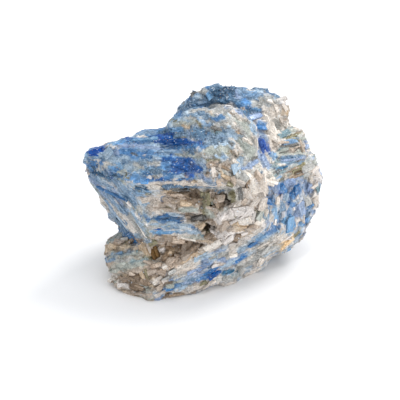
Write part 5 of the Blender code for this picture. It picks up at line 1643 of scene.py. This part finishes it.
def lightness_with_painted_pits(finish, where, glitter, mottle, specks, speck):
    """How light each place is: mottled and specked, with spots of painted shade, as if pitted, where the
    mineral glitters.
    """
    specked = speck * (SPECKED + GLITTER_SPECKS * glitter)
    light = LIGHTNESS + speck * (mottle - 0.5) + specked * (specks - 0.5)
    # Dark spots where the noise is low: painted shade standing in for small pits.
    pit = (PIT_LEVEL - finish.noise(where, PITS, 2.0)) * PIT_EDGE
    return light * (1.0 - PAINTED_PIT_SHADE * pit.limited() * glitter)


def painted_glints_and_rust(finish, colour, where, glitter):
    """Scatters single specks of white, which are painted glints, and of rust, more of them where the
    mineral glitters.
    """
    glint_and_rust_cells = finish.cells(where, GLINT_AND_RUST_CELLS, "Color")
    for number, speck, share in ((0, PAINTED_GLINT_WHITE, PAINTED_GLINT_SHARE), (2, RUST, RUST_SHARE)):
        here = finish.channel(glint_and_rust_cells, number).above(1.0 - share * glitter)
        colour = finish.mixed(colour, speck, GLINT_AND_RUST_STRENGTH * finish.channel(glint_and_rust_cells, 1) * here)
    return colour


# %% Colour of the loose pieces
PIECE_VEIL, TONE_VEIL, FACET_VEIL = 0.15, 0.4, 0.4
PIECE_LIGHT, TONE_LIGHT, PAINTED_FACE_LIGHT = 0.70, 0.30, 0.26


def piece_colour(finish, colour, veil, light, facet):
    """A loose piece has one tone, and each of its faces is painted lighter or darker, as if it caught the
    light its own way.
    """
    tone = finish.attribute("tone")
    colour = finish.mixed(colour, veil, PIECE_VEIL + TONE_VEIL * tone + FACET_VEIL * (facet - 0.5))
    return finish.scaled(colour, light * (PIECE_LIGHT + TONE_LIGHT * tone + PAINTED_FACE_LIGHT * facet))


# %% Colour of the strands
VEILED = 0.35
FIBRE_VEIL, CLOUD_VEIL, SPECK_VEIL, STRAND_VEIL = 0.9, 2.0, 1.6, 0.6
STRAND_LIGHT, PAINTED_FACET_LIGHT = 0.24, 0.36
CRACK_SHARPNESS, PAINTED_CRACK_SHADE, CRACK_FROM = 14.0, 0.22, 0.25
THREAD_TOP, THREAD_SHARPNESS = 0.9, 28.0
PAINTED_THREAD_HIGHLIGHT, THREAD_STRENGTH = 1.35, 0.55


def strand_colour(finish, colour, veil, light, facet, where, mottle, specks):
    """Rock and crystals are veiled along their strands, with painted shade along the cracks between them
    and painted highlights along thin threads.
    """
    strand = finish.attribute("strand", "Vector")
    strands = finish.cells(strand, STRANDS, "Color")
    share = VEILED + FIBRE_VEIL * (finish.noise(strand, FIBRES, 4.0) - 0.5)
    share = share + CLOUD_VEIL * (finish.noise(where, CLOUDS, 3.0) - 0.5)
    share = share + SPECK_VEIL * (specks - 0.5) + STRAND_VEIL * (finish.channel(strands, 1) - 0.5)
    # Besides a random tone for each strand, every facet is painted lighter or darker, as if it caught the
    # light its own way.
    light = light + STRAND_LIGHT * (finish.channel(strands, 0) - 0.5) + PAINTED_FACET_LIGHT * (facet - 0.5)
    # Painted shade along the edges of the strand cells, as if in the cracks between blades.
    crack = 1.0 - CRACK_SHARPNESS * finish.cells(strand, STRANDS, "Distance", "DISTANCE_TO_EDGE")
    light = light * (1.0 - PAINTED_CRACK_SHADE * crack.limited() * (mottle - CRACK_FROM).limited())
    colour = finish.scaled(finish.mixed(colour, veil, share), light)
    # Thin lighter threads along the strands: painted highlights on the ridges of the blades.
    thread = THREAD_TOP - THREAD_SHARPNESS * abs(finish.noise(strand, THREADS, 2.0) - 0.5)
    return finish.mixed(colour, finish.scaled(veil, PAINTED_THREAD_HIGHLIGHT), THREAD_STRENGTH * thread)


# %% Finish of each piece
REFRACTION = 1.46
GLOSS_SHINE, SPECK_ROUGH = 0.25, 0.3


def mineral_finish(name, rough, facet_size, facet_tilt, speck, kind):
    """kind is skin, crystal or piece: where the facets and the fibres of this mesh come from."""
    finish = Finish(name)
    where = finish.place()
    colour, veil = finish.attribute("tint", "Color"), finish.attribute("veil", "Color")
    gloss, glitter = finish.attribute("gloss"), finish.attribute("glitter")
    mottle, specks = finish.noise(where, MOTTLE, 4.0), finish.noise(where, SPECKS, 2.0)
    light = lightness_with_painted_pits(finish, where, glitter, mottle, specks, speck)
    # On the skin, small cells are painted lighter or darker, as if they were facets that caught the light.
    if kind == "skin":
        facet = finish.channel(finish.cells(where, FACETS, "Color"), 0)
    else:
        facet = finish.attribute("facet")
    if kind == "piece":
        colour = piece_colour(finish, colour, veil, light, facet)
    else:
        colour = strand_colour(finish, colour, veil, light, facet, where, mottle, specks)
    finish.surface(
        Base_Color=painted_glints_and_rust(finish, colour, where, glitter),
        Roughness=rough - GLOSS_SHINE * gloss + SPECK_ROUGH * (specks - 0.5),
        Normal=finish.glints(where, 1000 / facet_size, facet_tilt),
        IOR=REFRACTION,
    )
    return finish


# Roughness, size of the facets in millimetres, how far they tilt, how strong the specks are.
rock_finish = mineral_finish("kyanite_rock", 0.55, 0.5, 0.35, 0.5, "skin")
crystal_finish = mineral_finish("kyanite_crystal", 0.42, 1.4, 0.12, 0.3, "crystal")
splinter_finish = mineral_finish("kyanite_splinter", 0.44, 1.0, 0.2, 0.3, "piece")
mica_finish = mineral_finish("mica_flake", 0.4, 1.4, 0.12, 0.25, "piece")
grain_finish = mineral_finish("rock_grain", 0.46, 0.8, 0.3, 0.35, "piece")
quartz_finish = mineral_finish("quartz_block", 0.38, 1.6, 0.12, 0.25, "piece")
for obj, finish in ((skin, rock_finish), (crystals, crystal_finish)):
    obj.data.materials.clear()
    obj.data.materials.append(finish.material)
    print(finish.material.name, len(finish.tree.nodes), "nodes")

# %% Scatter
# Seed, pieces a square millimetre, smallest and largest size, tilts, and the lift off the rock.
splinters = scattered(
    "kyanite_splinters", "blade", splinter_finish,
    21, 0.3, (0.5, 0.2, 0.12), (1.6, 0.5, 0.3), (3, 3, 9), -0.1,
)
flakes = scattered(
    "mica_flakes", "flake", mica_finish,
    22, 0.5, (0.6, 0.4, 0.12), (2.0, 1.3, 0.3), (8, 8, 180), -0.1,
)
grains = scattered(
    "rock_grains", "grain", grain_finish,
    23, 0.35, (0.3, 0.3, 0.25), (0.8, 0.7, 0.5), (180, 180, 180), -0.16,
)
blocks = scattered(
    "quartz_blocks", "block", quartz_finish,
    24, 0.3, (0.8, 0.4, 0.35), (2.4, 1.3, 0.8), (12, 12, 30), -0.24,
)

# %% [markdown]
# ## Hand over
#
# Every piece rides on the one body and stands for the imported solid, which is hidden. The specimen
# is one rock, so nothing on it moves by itself.

# %% Ride, replace and finish
for piece in (skin, crystals, splinters, flakes, grains, blocks):
    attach(piece, BODY)
    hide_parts(NODE)
